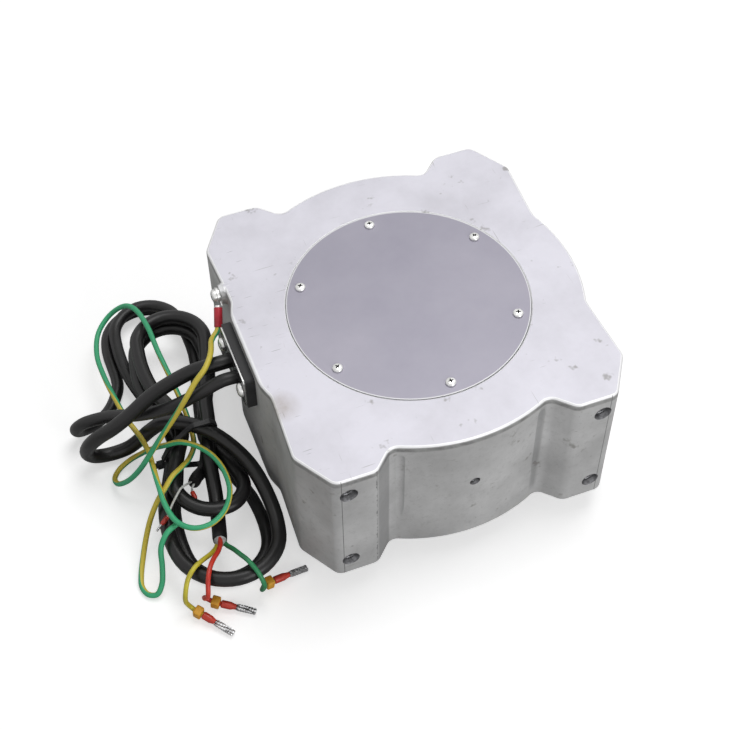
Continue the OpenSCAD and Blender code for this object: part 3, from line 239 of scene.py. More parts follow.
def sheathed(name, line, diameter, sides=20, drawn_in=0.0):
    """A tube round the line, its last ring drawn in. Its UV map runs once round and along it in metres."""
    step = np.vstack([line[1] - line[0], line[2:] - line[:-2], line[-1] - line[-2]])
    step /= np.linalg.norm(step, axis=1)[:, None]
    out = np.array((0.1, 0.2, 1.0))
    run = np.concatenate([[0], np.cumsum(np.linalg.norm(np.diff(line, axis=0), axis=1))])
    radii = [diameter / 2] * (len(line) - 1) + [diameter / 2 - drawn_in]
    vertices = []
    for point, t, radius in zip(line, step, radii):
        out = out - out.dot(t) * t
        out /= np.linalg.norm(out)
        over = np.cross(t, out)
        for k in range(sides):
            w = 2 * math.pi * k / sides
            vertices.append(point + (out * math.cos(w) + over * math.sin(w)) * radius)
    faces, uvs = [], []
    for i in range(len(line) - 1):
        for k in range(sides):
            n = (k + 1) % sides
            faces.append((i * sides + k, i * sides + n, (i + 1) * sides + n, (i + 1) * sides + k))
            uvs += [(u / sides, run[v]) for u, v in ((k, i), (k + 1, i), (k + 1, i + 1), (k, i + 1))]
    last = (len(line) - 1) * sides
    faces.append(tuple(range(sides - 1, -1, -1)))
    faces.append(tuple(last + k for k in range(sides)))
    uvs += [(0.5, 0)] * sides + [(0.5, run[-1])] * sides
    mesh = bpy.data.meshes.new(name)
    mesh.from_pydata([tuple(v) for v in vertices], [], faces)
    layer = mesh.uv_layers.new(name="UVMap")
    layer.data.foreach_set("uv", np.array(uvs, dtype=float).ravel())
    piece = bpy.data.objects.new(name, mesh)
    bpy.context.collection.objects.link(piece)
    choose(piece)
    shade(50)
    return piece, run[-1]


def noise(tree, vector, scale, detail, roughness=0.5):
    """Drifting values over the vector."""
    return add(tree, "ShaderNodeTexNoise", Vector=vector, Scale=scale, Detail=detail,
               Roughness=roughness).outputs["Fac"]


def surface_group(name, size, build):
    """A shader node group with a Vector and a Size as inputs, and Tone and Height as outputs."""
    tree = bpy.data.node_groups.new(name, "ShaderNodeTree")
    for label, way, kind in (("Vector", "INPUT", "Vector"), ("Size", "INPUT", "Float"),
                             ("Tone", "OUTPUT", "Float"), ("Height", "OUTPUT", "Float")):
        socket = tree.interface.new_socket(label, in_out=way, socket_type="NodeSocket" + kind)
        if label == "Size":
            socket.default_value = size
    given, result = tree.nodes.new("NodeGroupInput"), tree.nodes.new("NodeGroupOutput")
    tone, height = build(tree, given.outputs["Vector"], given.outputs["Size"])
    fill(tree, result, Tone=tone, Height=height)
    return tree


def build_skin(tree, vector, size):
    """Moulded skin: broad drifts of tone with a fine orange-peel height."""
    return noise(tree, vector, size, 3.0), noise(tree, vector, reckoned(tree, "MULTIPLY", size, 14), 2.0)


skin_group = surface_group("moulded_skin", 60.0, build_skin)


def toned(tree, factor, dark, light, low=0.35, high=0.65):
    """Colours between dark and light as the factor goes from low to high."""
    ramp = add(tree, "ShaderNodeValToRGB", factor)
    for element, position, colour in zip(ramp.color_ramp.elements, (low, high), (dark, light)):
        element.position, element.color = position, (*colour, 1)
    return ramp.outputs["Color"]


def finished(tree, surface, factor, low, high, height, strength, distance, **inputs):
    """Roughness that drifts from low to high with the factor, and a fine relief of that distance."""
    bump = add(tree, "ShaderNodeBump", Strength=strength, Distance=distance, Height=height)
    fill(tree, surface, Roughness=mapped(tree, factor, 0, 1, low, high), Normal=bump.outputs[0], **inputs)


def covered(name, group, size, dark, light, low, high, strength, relief, gloss="Tone", **inputs):
    """A material whose colour, gloss and relief all follow one surface group."""
    material, tree, surface = blank_material(name)
    where = add(tree, "ShaderNodeTexCoord").outputs["Object"]
    skin = add(tree, "ShaderNodeGroup", node_tree=group, Vector=where, Size=size).outputs
    finished(tree, surface, skin[gloss], low, high, skin["Height"], strength, relief,
             Base_Color=toned(tree, skin["Tone"], dark, light), **inputs)
    return material


def moulded(name, dark, light, roughness, size=60.0, relief=0.00003, specular=0.5):
    """Plastic, rubber or insulation: drifting tone, drifting gloss and a fine relief."""
    return covered(name, skin_group, size, dark, light, roughness * 0.8, min(1, roughness * 1.25), 0.5,
                   relief, Specular_IOR_Level=specular)


def metres(points):
    """Points of a route that is written in millimetres."""
    return [tuple(round(c / 1000, 6) for c in point) for point in points]


power_lead = metres([
    (-96, 10.8, 82), (-104, 10.8, 82), (-116, 13, 79), (-128, 16, 71), (-140, 18, 62), (-152, 18, 52),
    (-163, 19, 43), (-171, 22, 35), (-177, 25, 26), (-179, 28, 16), (-175, 30, 8), (-166, 31, 4.4),
    (-157, 30, 6.5), (-150, 27.5, 14), (-143, 24.5, 24), (-135, 20, 33.5), (-125, 12, 38.2),
    (-115, 3, 38.4), (-106, -8, 35), (-99, -21, 30), (-95.5, -36, 24)
])
power_loops = {
    "top_x": -0.117, "bottom_x": -0.125, "top": 0.076, "bottom": -0.055, "waist": 0.016, "waist_half": 0.044,
    "top_w": 0.026, "bottom_w": 0.0295, "pinch": 0.012, "step": 0.0104, "floor": 0.0198, "climb": 0.0096,
    "turn": 1.25, "first": 0.125, "last": 1.875, "draw": 0.03
}
power_end = metres([
    (-100, 58, 29.4), (-105, 43, 29.4), (-109, 29, 29.4), (-112, 14, 29.4), (-115, 4, 29.2),
    (-118, -6, 26.4), (-119.5, -16, 21.5), (-121, -26, 17.5), (-123, -35, 15.4), (-125, -44, 15.4),
    (-127, -53, 17.5)
])
power_line = eased(power_lead + looped(power_loops) + power_end, 4)
power_cable, power_length = sheathed("power_sheath", power_line, 0.008, 24, 0.0003)
power_black = moulded("power_sheath_black", (0.006, 0.006, 0.006), (0.014, 0.013, 0.014), 0.34, 40.0,
                      0.00006, 0.35)
wear(power_cable, power_black)
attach(power_cable, "motor_case")
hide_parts("power_cable", "power_hank", "power_tail")

# Encoder cable: a round black sheath of 7 mm with many thin cores, about 0.85 m long.
# It runs beside the power cable, lies in the hank below it and ends in the middle of
# the hank's lower half.
encoder_lead = metres([
    (-96, -0.8, 82), (-104, -0.8, 82), (-115, 0, 77), (-127, 5, 66), (-138, 14, 53), (-149, 24, 42),
    (-160, 33, 35), (-168, 38, 30), (-176, 42, 24.5), (-181, 46, 16), (-179, 50, 8), (-171, 54, 4.2),
    (-161, 60, 3.8), (-154, 69, 3.8)
])
encoder_loops = {
    "top_x": -0.125, "bottom_x": -0.124, "top": 0.104, "bottom": -0.052, "waist": 0.024, "waist_half": 0.055,
    "top_w": 0.025, "bottom_w": 0.028, "pinch": 0.013, "step": 0.008, "floor": 0.0038, "climb": 0.0078,
    "turn": 1.5, "first": 7 / 12, "last": 2, "draw": 0.008
}
encoder_end = metres([
    (-115, 14, 11.7), (-118, 4, 12.6), (-122, -5, 15), (-127, -11, 19), (-130, -16, 22)
])
encoder_line = eased(encoder_lead + looped(encoder_loops) + encoder_end, 4)
encoder_cable, encoder_length = sheathed("encoder_sheath", encoder_line, 0.007, 24, 0.0003)
wear(encoder_cable, moulded("encoder_sheath_black", (0.008, 0.008, 0.008), (0.018, 0.017, 0.018), 0.38,
                            46.0, 0.00006, 0.35))
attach(encoder_cable, "motor_case")
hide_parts("encoder_cable", "encoder_hank", "encoder_tail")

# Earth wire: stranded copper in a 3 mm green and yellow insulation, whose two colours
# lie side by side along the wire and turn slowly round it. It comes off the ring
# terminal, passes over both cables and lies in open loops on the hank.
earth_lead = metres([
    (-95.2, 32.5, 85.7), (-96.9, 29.8, 84.6), (-99.9, 27, 84.2), (-102, 23.4, 85.2), (-103.2, 19, 87.1),
    (-104.7, 14.2, 88.8), (-107, 9.5, 89.6), (-111, 4.5, 88.9), (-117, 1.5, 85), (-124, -1.5, 77.5),
    (-131, -2, 66.5), (-140, -1.5, 52), (-148, -1, 38.5), (-156, 0, 25)
])
earth_round = metres([
    (-163, 3, 14.5), (-168, 8, 7.5), (-168.5, 15, 3.6), (-164.5, 20.5, 2.6), (-158, 22.5, 5),
    (-151, 19, 13), (-144, 11.5, 25), (-138, 4, 35), (-131, 0, 39.5), (-123, -6, 39.5), (-117, -14, 38),
    (-114, -25, 36.5), (-115, -37, 35.5), (-121, -47, 35), (-130, -52, 34.5), (-139, -51, 34),
    (-146, -44, 33.4), (-149, -32, 33.4), (-149, -18, 33.6), (-148.5, -6, 32.6), (-148, 6, 30.5),
    (-149, 17, 28), (-151, 28, 25), (-153, 40, 20), (-155, 56, 18), (-157, 74, 18), (-157, 92, 18),
    (-152, 107, 19), (-143, 114, 23), (-134, 111, 31), (-129, 101, 37), (-126, 86, 38), (-125, 66, 36.5),
    (-123, 48, 32), (-121.5, 32, 28), (-121.5, 18, 25.5), (-123, 6, 25.5), (-128, -4, 28.5),
    (-134, -11, 32.5), (-140.5, -16, 34.2), (-146, -20, 31.2), (-151, -23, 27.6), (-157, -27, 20),
    (-162, -32, 12), (-167, -40, 5.5), (-171, -49, 2.4), (-172.5, -56, 2), (-170.6, -61.6, 2),
    (-166.3, -63.8, 3), (-162.4, -61, 7), (-159.8, -55.5, 14), (-157.5, -49, 23), (-152.5, -45, 28),
    (-146.5, -42, 28.5)
])
earth_line = eased(earth_lead + earth_round, 6)
earth_wire, earth_length = sheathed("earth_insulation", earth_line, 0.003, 20)
stripe_turns, stripe_sway, stripe_phase = 5.0, 0.9, 0.72
yellow, deep_yellow = (0.76, 0.62, 0.08), (0.68, 0.55, 0.06)
green, pale_green = (0.045, 0.44, 0.20), (0.055, 0.50, 0.23)
striped, tree, surface = blank_material("green_yellow_insulation")
along = add(tree, "ShaderNodeUVMap", uv_map="UVMap").outputs[0]
parts = add(tree, "ShaderNodeSeparateXYZ", along).outputs
where = add(tree, "ShaderNodeTexCoord").outputs["Object"]
skin = add(tree, "ShaderNodeGroup", node_tree=skin_group, Vector=where, Size=80.0).outputs
turned = reckoned(tree, "MULTIPLY_ADD", parts["Y"], stripe_turns, parts["X"])
swayed = reckoned(tree, "MULTIPLY_ADD", noise(tree, where, 9.0, 2.0), stripe_sway, turned)
around = reckoned(tree, "FRACT", reckoned(tree, "ADD", swayed, stripe_phase))
stripes = toned(tree, around, deep_yellow, yellow, 0.0, 0.40)
for position, colour in ((0.43, green), (0.97, pale_green), (0.995, deep_yellow)):
    stripes.node.color_ramp.elements.new(position).color = (*colour, 1)
finished(tree, surface, skin["Tone"], 0.34, 0.55, skin["Height"], 0.5, 0.00004, Base_Color=stripes)
wear(earth_wire, striped)
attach(earth_wire, "motor_case")
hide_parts("earth_wire", "earth_coil")

# Power cores: three insulated wires of 2.6 mm leave the cut sheath, rise over the hank
# and drop to the table. Each carries a plain orange marker tube, a red plastic collar
# and a crimped tinned pin.
red_route = metres([
    (-126.9, -52.6, 19.4), (-127.5, -56, 20.2), (-130, -61.5, 22.5), (-134, -67, 25.5),
    (-137.5, -72.5, 27.4), (-140.5, -78.5, 26.2), (-142.8, -84, 20), (-144.2, -81.6, 14.5),
    (-144, -78.4, 10), (-143, -77.5, 6.8), (-140.6, -79.1, 5.1), (-136.5, -82, 4.6)
])
yellow_route = metres([
    (-128.6, -52.9, 16.6), (-129.8, -56, 17.6), (-134, -61, 21), (-139.5, -65.5, 25), (-145, -69.5, 27),
    (-150, -74, 25.5), (-153.5, -79, 19.5), (-154, -79.4, 14), (-153.3, -78.8, 9.8), (-152.2, -79, 6.8),
    (-150.2, -81.2, 5), (-147.2, -84.9, 4.6)
])
green_route = metres([
    (-125.4, -53.5, 16.6), (-124.6, -57, 17.8), (-122.5, -63, 22), (-120.5, -70, 26.5), (-118, -76, 28.2),
    (-115, -82.5, 25), (-113.4, -87, 17.5), (-114.6, -85, 10.5), (-111.5, -80.6, 6.9), (-106.5, -79.6, 6)
])
core_tips = [
    [(-0.1365, -0.082, 0.0046), (-0.1296, -0.0861, 0.0035), (-0.1204, -0.092, 0.0024)],
    [(-0.1472, -0.0849, 0.0046), (-0.1425, -0.0907, 0.0036), (-0.1352, -0.1, 0.0024)],
    [(-0.1065, -0.0796, 0.006), (-0.0976, -0.0782, 0.0046), (-0.0868, -0.0767, 0.0026)]
]


def aimed(start, end):
    """The place at start, with Z towards end."""
    start, end = Vector(start), Vector(end)
    return Matrix.Translation(start) @ (end - start).to_track_quat("Z", "Y").to_matrix().to_4x4()


def mended():
    """Turns all faces of the piece in edit mode outwards and leaves that mode."""
    bpy.ops.mesh.select_all(action="SELECT")
    bpy.ops.mesh.normals_make_consistent(inside=False)
    bpy.ops.object.mode_set(mode="OBJECT")


def lathed(name, start, end, profile, sides=24):
    """A round piece about the line from start to end: its profile pairs distances along it with radii."""
    bpy.ops.object.select_all(action="DESELECT")
    bpy.ops.mesh.primitive_circle_add(vertices=sides, radius=profile[0][1], fill_type="NGON",
                                      location=(0, 0, profile[0][0]))
    piece = bpy.context.object
    piece.name = name
    settle()
    bpy.ops.object.mode_set(mode="EDIT")
    bpy.ops.mesh.select_all(action="SELECT")
    for (z0, r0), (z1, r1) in zip(profile[:-1], profile[1:]):
        bpy.ops.mesh.extrude_region_move(TRANSFORM_OT_translate={"value": (0, 0, z1 - z0)})
        bpy.ops.transform.resize(value=(r1 / r0, r1 / r0, 1), center_override=(0, 0, z1))
    mended()
    piece.matrix_world = aimed(start, end)
    settle()
    shade(35)
    return piece


collar_red = moulded("collar_red_plastic", (0.50, 0.030, 0.016), (0.66, 0.055, 0.030), 0.32, 200.0, 0.00002)


def build_crimp(tree, vector, size):
    """Crimp marks: rows of small dents along the piece with a drifting tone."""
    rows = add(tree, "ShaderNodeTexWave", wave_type="BANDS", bands_direction="DIAGONAL", wave_profile="SIN",
               Vector=vector, Scale=size, Distortion=1.5)
    return noise(tree, vector, size, 4.0), rows.outputs["Fac"]


crimp_group = surface_group("crimp_marks", 260.0, build_crimp)
pin_tin = covered("pin_tin", crimp_group, 260.0, (0.34, 0.34, 0.35), (0.62, 0.62, 0.63), 0.22, 0.42, 0.8,
                  0.0003, Metallic=1)


def block(name, place, size):
    """A block of that size about that place."""
    bpy.ops.object.select_all(action="DESELECT")
    bpy.ops.mesh.primitive_cube_add(size=1, location=place, scale=size)
    piece = bpy.context.object
    piece.name = name
    settle()
    return piece


def rounded(piece, width, segments, degrees):
    """Rounds the edges of the active piece that are sharper than that angle."""
    rounding = piece.modifiers.new("rounding", "BEVEL")
    rounding.width = width
    rounding.segments = segments
    rounding.limit_method = "ANGLE"
    rounding.angle_limit = math.radians(degrees)
    bpy.ops.object.modifier_apply(modifier=rounding.name)


def crimped(name, start, end):
    """A flat crimped barrel, with a ladder of dents across both of its broad sides."""
    reach = (Vector(end) - Vector(start)).length
    foot, steps = 0.0004, 15
    piece = block(name, (0, 0, foot / 2), (0.0014, 0.0030, foot))
    for face in piece.data.polygons:
        face.select = face.normal.z > 0.9
    bpy.context.tool_settings.mesh_select_mode = (False, False, True)
    bpy.ops.object.mode_set(mode="EDIT")
    at, thick, wide = foot, 1.0, 1.0
    for number in range(steps):
        to = foot + (reach - 2 * foot) * (number + 1) / steps
        thick_to, wide_to = (1.38, 1.08) if number % 2 else (1.0, 1.0)
        bpy.ops.mesh.extrude_region_move(TRANSFORM_OT_translate={"value": (0, 0, to - at)})
        bpy.ops.transform.resize(value=(thick_to / thick, wide_to / wide, 1), center_override=(0, 0, to))
        at, thick, wide = to, thick_to, wide_to
    bpy.ops.object.mode_set(mode="OBJECT")
    bpy.context.tool_settings.mesh_select_mode = (True, False, False)
    rounded(piece, 0.00012, 2, 60)
    turn = aimed(start, end)
    if abs((turn.to_3x3() @ Vector((1, 0, 0))).z) < 0.7:
        turn = turn @ Matrix.Rotation(math.pi / 2, 4, "Z")
    piece.matrix_world = turn
    settle()
    shade(30)
    return piece


core_pieces = []
for colour, points, tip, light, dark, slot, node in (
    ("red", red_route, core_tips[0], (0.72, 0.050, 0.026), (0.58, 0.032, 0.018),
     "wire_red", "red_core"),
    ("yellow", yellow_route, core_tips[1], (0.70, 0.62, 0.050), (0.58, 0.50, 0.036),
     "wire_yellow", "yellow_core"),
    ("green", green_route, core_tips[2], (0.030, 0.30, 0.115), (0.020, 0.22, 0.080),
     "wire_green", "green_core"),
):
    core_line = eased(points, 5)
    core, length = sheathed(colour + "_power_core", core_line, 0.0026, 16)
    wear(core, moulded(colour + "_insulation", dark, light, 0.38, 160.0, 0.00003))
    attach(core, "motor_case")
    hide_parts(node)
    reach = (Vector(tip[1]) - Vector(tip[0])).length
    collar = lathed(colour + "_pin_collar", tip[0], tip[1], [
        (0, 0.0018), (0.0004, 0.0021), (reach * 0.62, 0.0021), (reach * 0.78, 0.0017), (reach, 0.00135)])
    wear(collar, collar_red)
    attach(collar, "motor_case")
    pin = crimped(colour + "_pin", tip[1], tip[2])
    wear(pin, pin_tin)
    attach(pin, "motor_case")
    core_pieces += [collar, pin]

# Marker tubes: short square sleeves of orange vinyl on the three cores, each bare on
# all its sides, pushed against the collar and a little askew.
marker_at = [
    [(-0.1407, -0.079, 0.0051), (-0.1371, -0.0816, 0.0047)],
    [(-0.1504, -0.081, 0.005), (-0.1477, -0.0843, 0.0047)],
    [(-0.1114, -0.0805, 0.0069), (-0.1072, -0.0797, 0.0061)]
]
marker_orange = moulded("marker_orange_vinyl", (0.74, 0.34, 0.022), (0.88, 0.46, 0.045), 0.5, 300.0, 0.00003)
for number, (start, end) in enumerate(marker_at):
    reach = (Vector(end) - Vector(start)).length
    marker = block("marker_tube_%d" % (number + 1), (0, 0, reach / 2), (0.0054, 0.0054, reach))
    rounded(marker, 0.0007, 3, 30)
    marker.matrix_world = aimed(start, end)
    settle()
    shade(35)
    wear(marker, marker_orange)
    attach(marker, "motor_case")
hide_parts("core_markers")

# Encoder cores: two thin insulated wires show at the cut end of the encoder sheath,
# each with a small red ferrule and a tinned pin.
long_core = metres([
    (-131.5, -16, 23.4), (-134, -19.5, 28), (-138.5, -24, 32.4), (-143.5, -28.5, 30.6),
    (-147.5, -32, 27.6), (-149.5, -34.5, 26.4)
])
short_core = metres([
    (-130.2, -17.2, 22.4), (-131.9, -19.5, 22.8), (-132.6, -22, 23)
])
wire_tips = [
    [(-0.1326, -0.022, 0.023), (-0.1319, -0.027, 0.0229), (-0.1316, -0.0298, 0.0228)],
    [(-0.1495, -0.0345, 0.0264), (-0.1538, -0.0375, 0.0254), (-0.1572, -0.0399, 0.0246)]
]
core_white = moulded("encoder_core_white", (0.52, 0.52, 0.50), (0.74, 0.74, 0.72), 0.4, 200.0, 0.00002)
long_line = eased(long_core, 5)
long_wire, long_length = sheathed("encoder_core_long", long_line, 0.0012, 12)
short_wire, short_length = sheathed("encoder_core_short", eased(short_core, 5), 0.0012, 12)
for number, tip in enumerate(wire_tips):
    reach = (Vector(tip[1]) - Vector(tip[0])).length
    ferrule = lathed("encoder_ferrule_%d" % (number + 1), tip[0], tip[1], [
        (0, 0.0011), (0.0003, 0.0013), (reach * 0.7, 0.0013), (reach, 0.0008)], 16)
    wear(ferrule, collar_red)
    reach = (Vector(tip[2]) - Vector(tip[1])).length
    pin = lathed("encoder_pin_%d" % (number + 1), tip[1], tip[2], [
        (-0.0004, 0.0006), (reach * 0.9, 0.0006), (reach, 0.0005)], 12)
    wear(pin, pin_tin)
    for piece, slot in ((ferrule, "sleeve_red"), (pin, "tinned")):
        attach(piece, "motor_case")
for wire in (long_wire, short_wire):
    wear(wire, core_white)
    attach(wire, "motor_case")
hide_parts("encoder_cores")
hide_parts("pin_sleeves")
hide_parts("pin_tips")
cut_end = Vector(power_line[-1])
end_way = Vector(power_line[-1] - power_line[-2]).normalized()
filler = lathed("power_cable_filler", cut_end - end_way * 0.001, cut_end + end_way * 0.003, [
    (0, 0.0034), (0.0010, 0.0034), (0.0016, 0.0031), (0.0026, 0.0029), (0.0036, 0.0024), (0.0040, 0.0015)])
wear(filler, moulded("filler_pale", (0.46, 0.46, 0.46), (0.66, 0.66, 0.66), 0.6, 400.0, 0.0001))
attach(filler, "motor_case")

# Cable tie: a black nylon band drawn round the hank's waist, with its square head and
# the cut end of the band on the outer side.
tie = nodes["cable_tie"]
wear(tie, moulded("tie_nylon", (0.012, 0.012, 0.013), (0.028, 0.028, 0.030), 0.34, 240.0, 0.00003))

# Casting: one thick-walled aluminium casting, square with cut corner lugs and round
# lobes between them. The top is milled flat, the drilled strips of the lugs are
# milled, and the rest is left as cast with softly rounded edges. Its colour also
# carries painted highlights on the edges and painted shade in the valleys and below
# the top rim.
def arc(x, y, r, first, last, steps):
    """Points of an arc about (x, y), in degrees."""
    return [(x + r * math.cos(math.radians(first + (last - first) * i / steps)),
             y + r * math.sin(math.radians(first + (last - first) * i / steps))) for i in range(steps + 1)]


def softened(a, b, c, r, steps=6):
    """The corner b between a and c, rounded."""
    a, b, c = Vector(a), Vector(b), Vector(c)
    u, v = (a - b).normalized(), (c - b).normalized()
    half = u.angle(v) / 2
    centre = b + (u + v).normalized() * r / math.sin(half)
    first, last = b + u * r / math.tan(half) - centre, b + v * r / math.tan(half) - centre
    sweep = first.angle_signed(last)
    return [tuple(centre + Matrix.Rotation(-sweep * i / steps, 2) @ first) for i in range(steps + 1)]


lobe_radius, underside, case_height, edge_round = 0.093, 0.015, 0.086, 0.0014
quarter = arc(0, 0, lobe_radius, 0, 19.84, 9)
quarter += arc(0.095, 0.03429, 0.008, 199.9, 180, 4)[1:]
lug = [(0.087, 0.037), (0.0888, 0.072), (0.075, 0.094), (0.053, 0.094), (0.04498, 0.08598)]
quarter.append(lug[0])
quarter += softened(lug[0], lug[1], lug[2], 0.007)
quarter += softened(lug[1], lug[2], lug[3], 0.006)
quarter += softened(lug[2], lug[3], lug[4], 0.007)
quarter += arc(0.04074, 0.09023, 0.006, 315, 245.7, 6)
quarter += arc(0, 0, lobe_radius, 65.7, 90, 12)[1:]
half_plan = quarter + [(-x, y) for x, y in quarter[-2::-1]]
plan = half_plan + [(x, -y) for x, y in half_plan[-2:0:-1]]
plan = [(max(x, -0.090) if abs(y) < 0.072 else x, y) for x, y in plan]
plan = [p for i, p in enumerate(plan) if (Vector(p) - Vector(plan[i - 1])).length > 0.00005]

cast, cast_tree, cast_surface = blank_material("cast_and_milled_aluminium")
bpy.ops.object.select_all(action="DESELECT")
bpy.ops.mesh.primitive_circle_add(vertices=len(plan), radius=0.09, fill_type="NGON", location=(0, 0, 0))
case = bpy.context.object
case.name = "motor_casting"
wear(case, cast)
for vertex, (x, y) in zip(case.data.vertices, plan):
    vertex.co = (x, y, underside)
bpy.ops.object.mode_set(mode="EDIT")
bpy.ops.mesh.select_all(action="SELECT")
bpy.ops.mesh.extrude_region_move(TRANSFORM_OT_translate={"value": (0, 0, case_height)})
bpy.ops.mesh.select_all(action="SELECT")
bpy.ops.mesh.normals_make_consistent(inside=False)
bpy.ops.mesh.select_all(action="DESELECT")
bpy.ops.object.mode_set(mode="OBJECT")
for edge in case.data.edges:
    a, b = (case.data.vertices[i].co.z for i in edge.vertices)
    edge.select = abs(a - b) < 0.001
bpy.context.tool_settings.mesh_select_mode = (False, True, False)
bpy.ops.object.mode_set(mode="EDIT")
bpy.ops.mesh.bevel(offset=edge_round, segments=4, profile=0.5)
bpy.ops.object.mode_set(mode="OBJECT")
bpy.context.tool_settings.mesh_select_mode = (True, False, False)


def turned_solid(name, outline, steps=144):
    """A solid turned about the shaft's line from an outline of (radius, height) pairs."""
    bpy.ops.object.select_all(action="DESELECT")
    bpy.ops.mesh.primitive_circle_add(vertices=len(outline), radius=0.01, fill_type="NOTHING",
                                      location=(0, 0, 0))
    solid = bpy.context.object
    solid.name = name
    for vertex, (r, z) in zip(solid.data.vertices, outline):
        vertex.co = (r, 0, z)
    for vertex in solid.data.vertices:
        vertex.select = False
    for edge in solid.data.edges:
        edge.select = all(solid.data.vertices[i].co.x == 0 for i in edge.vertices)
    bpy.ops.object.mode_set(mode="EDIT")
    bpy.ops.mesh.delete(type="EDGE")
    bpy.ops.mesh.select_all(action="SELECT")
    bpy.ops.mesh.spin(steps=steps, angle=2 * math.pi, center=(0, 0, 0), axis=(0, 0, 1))
    bpy.ops.mesh.select_all(action="SELECT")
    bpy.ops.mesh.remove_doubles(threshold=0.000005)
    mended()
    return solid


def bored(piece, cutter, operation="DIFFERENCE"):
    """Cuts the cutter out of the piece, or joins it on. The cut walls keep the cutter's material."""
    cut = piece.modifiers.new("cut", "BOOLEAN")
    cut.operation = operation
    cut.solver = "EXACT"
    cut.material_mode = "TRANSFER"
    cut.object = cutter
    choose(piece)
    bpy.ops.object.modifier_apply(modifier=cut.name)
    bpy.data.objects.remove(cutter, do_unlink=True)


def metal(name, dark, light, low, high, size=80.0, metallic=1.0, strength=0.4):
    """Metal with drifting tone and gloss and a fine relief."""
    return covered(name, skin_group, size, dark, light, low, high, strength, 0.00003, Metallic=metallic)


# Painted shade: the walls of the threaded holes are painted darker than the casting.
thread_wall_painted_shade = metal("threaded_wall", (0.10, 0.10, 0.105), (0.22, 0.22, 0.23), 0.25, 0.45, 500.0, 0.7)
# Painted shade: the cross recesses of the screw heads are painted near black.
recess_painted_shade = metal("screw_recess", (0.03, 0.03, 0.03), (0.08, 0.08, 0.08), 0.3, 0.5, 500.0, 0.7)


def threaded(name, start, end, core, crest, depth, pitch, mouth):
    """The cutter of a threaded hole: a ridged wall down to its depth, and a dished mouth."""
    wall = [(0, core)]
    for number in range(int(depth / pitch)):
        wall += [((number + 0.5) * pitch, crest), ((number + 1) * pitch, core)]
    cutter = lathed(name, start, end, wall + mouth, 40)
    # Its walls carry the hole's painted shade.
    wear(cutter, thread_wall_painted_shade)
    return cutter


bored(case, turned_solid("well", [
    (0, 0.005), (0.0852, 0.005), (0.0852, 0.022), (0.082, 0.022), (0.082, 0.064), (0.080, 0.064),
    (0.080, 0.091), (0.058, 0.091), (0.058, 0.070), (0.031, 0.070), (0.031, 0.058), (0.02352, 0.058),
    (0.02352, 0.0745), (0.018, 0.0745), (0.018, 0.077), (0.052, 0.077), (0.052, 0.098), (0.0643, 0.098),
    (0.0643, 0.1004), (0.0650, 0.1011), (0.0650, 0.110), (0, 0.110)]))
shield_screw_circle, groove_x, mount_x, mount_levels = 0.091, 0.0387, 0.068, (0.028, 0.088)
for number in range(4):
    a = math.radians(45 + 90 * number)
    x, y = shield_screw_circle * math.cos(a), shield_screw_circle * math.sin(a)
    bored(case, lathed("ear", (x, y, 0.005), (x, y, 0.022), [(0, 0.0082), (0.017, 0.0082)], 48))
    ear_slot = block("ear_slot", (0.083, 0, 0.0135), (0.016, 0.0164, 0.017))
    ear_slot.rotation_euler.z = a
    settle()
    bored(case, ear_slot)
for x in (-groove_x, groove_x):
    for side in (-1, 1):
        bored(case, lathed("run_out_groove", (x, side * 0.0873, 0.022), (x, side * 0.0868, 0.0955), [
            (0, 0.0004), (0.004, 0.0012), (0.010, 0.0021), (0.018, 0.0028), (0.026, 0.0032), (0.0695, 0.0032),
            (0.0715, 0.0027), (0.0729, 0.0017), (0.0735, 0.0006)], 32))
for x in (-mount_x, mount_x):
    for side in (-1, 1):
        for z in mount_levels:
            bored(case, threaded("mount_hole", (x, side * 0.074, z), (x, side * 0.096, z), 0.0034, 0.0040,
                                 0.0187, 0.00125, [(0.0193, 0.0042), (0.0199, 0.0047), (0.022, 0.0049)]))
bored(case, threaded("lobe_hole", (0, -0.085, 0.062), (0, -0.095, 0.062), 0.0021, 0.0025, 0.0070, 0.0008,
                     [(0.0078, 0.0028), (0.010, 0.0030)]))
for y, r in ((0.0108, 0.00522), (-0.0008, 0.00472)):
    bored(case, lathed("cable_way", (-0.078, y, 0.082), (-0.096, y, 0.082), [(0, r), (0.018, r)], 48))
bored(case, lathed("earth_boss", (-0.084, 0.045, 0.0948), (-0.090, 0.045, 0.0948), [
    (0, 0.0064), (0.0034, 0.0062), (0.0042, 0.0055), (0.0056, 0.0052), (0.006, 0.0048)], 40), "UNION")
bored(case, lathed("earth_thread", (-0.0745, 0.045, 0.0948), (-0.092, 0.045, 0.0948), [
    (0, 0.00202), (0.0175, 0.00202)], 24))
choose(case)
shade(32)
evened = case.modifiers.new("evened", "WEIGHTED_NORMAL")
evened.keep_sharp = True
bpy.ops.object.modifier_apply(modifier=evened.name)


def times(tree, value, *others):
    """The values multiplied, which is one only where all masks are."""
    for other in others:
        value = reckoned(tree, "MULTIPLY", value, other)
    return value


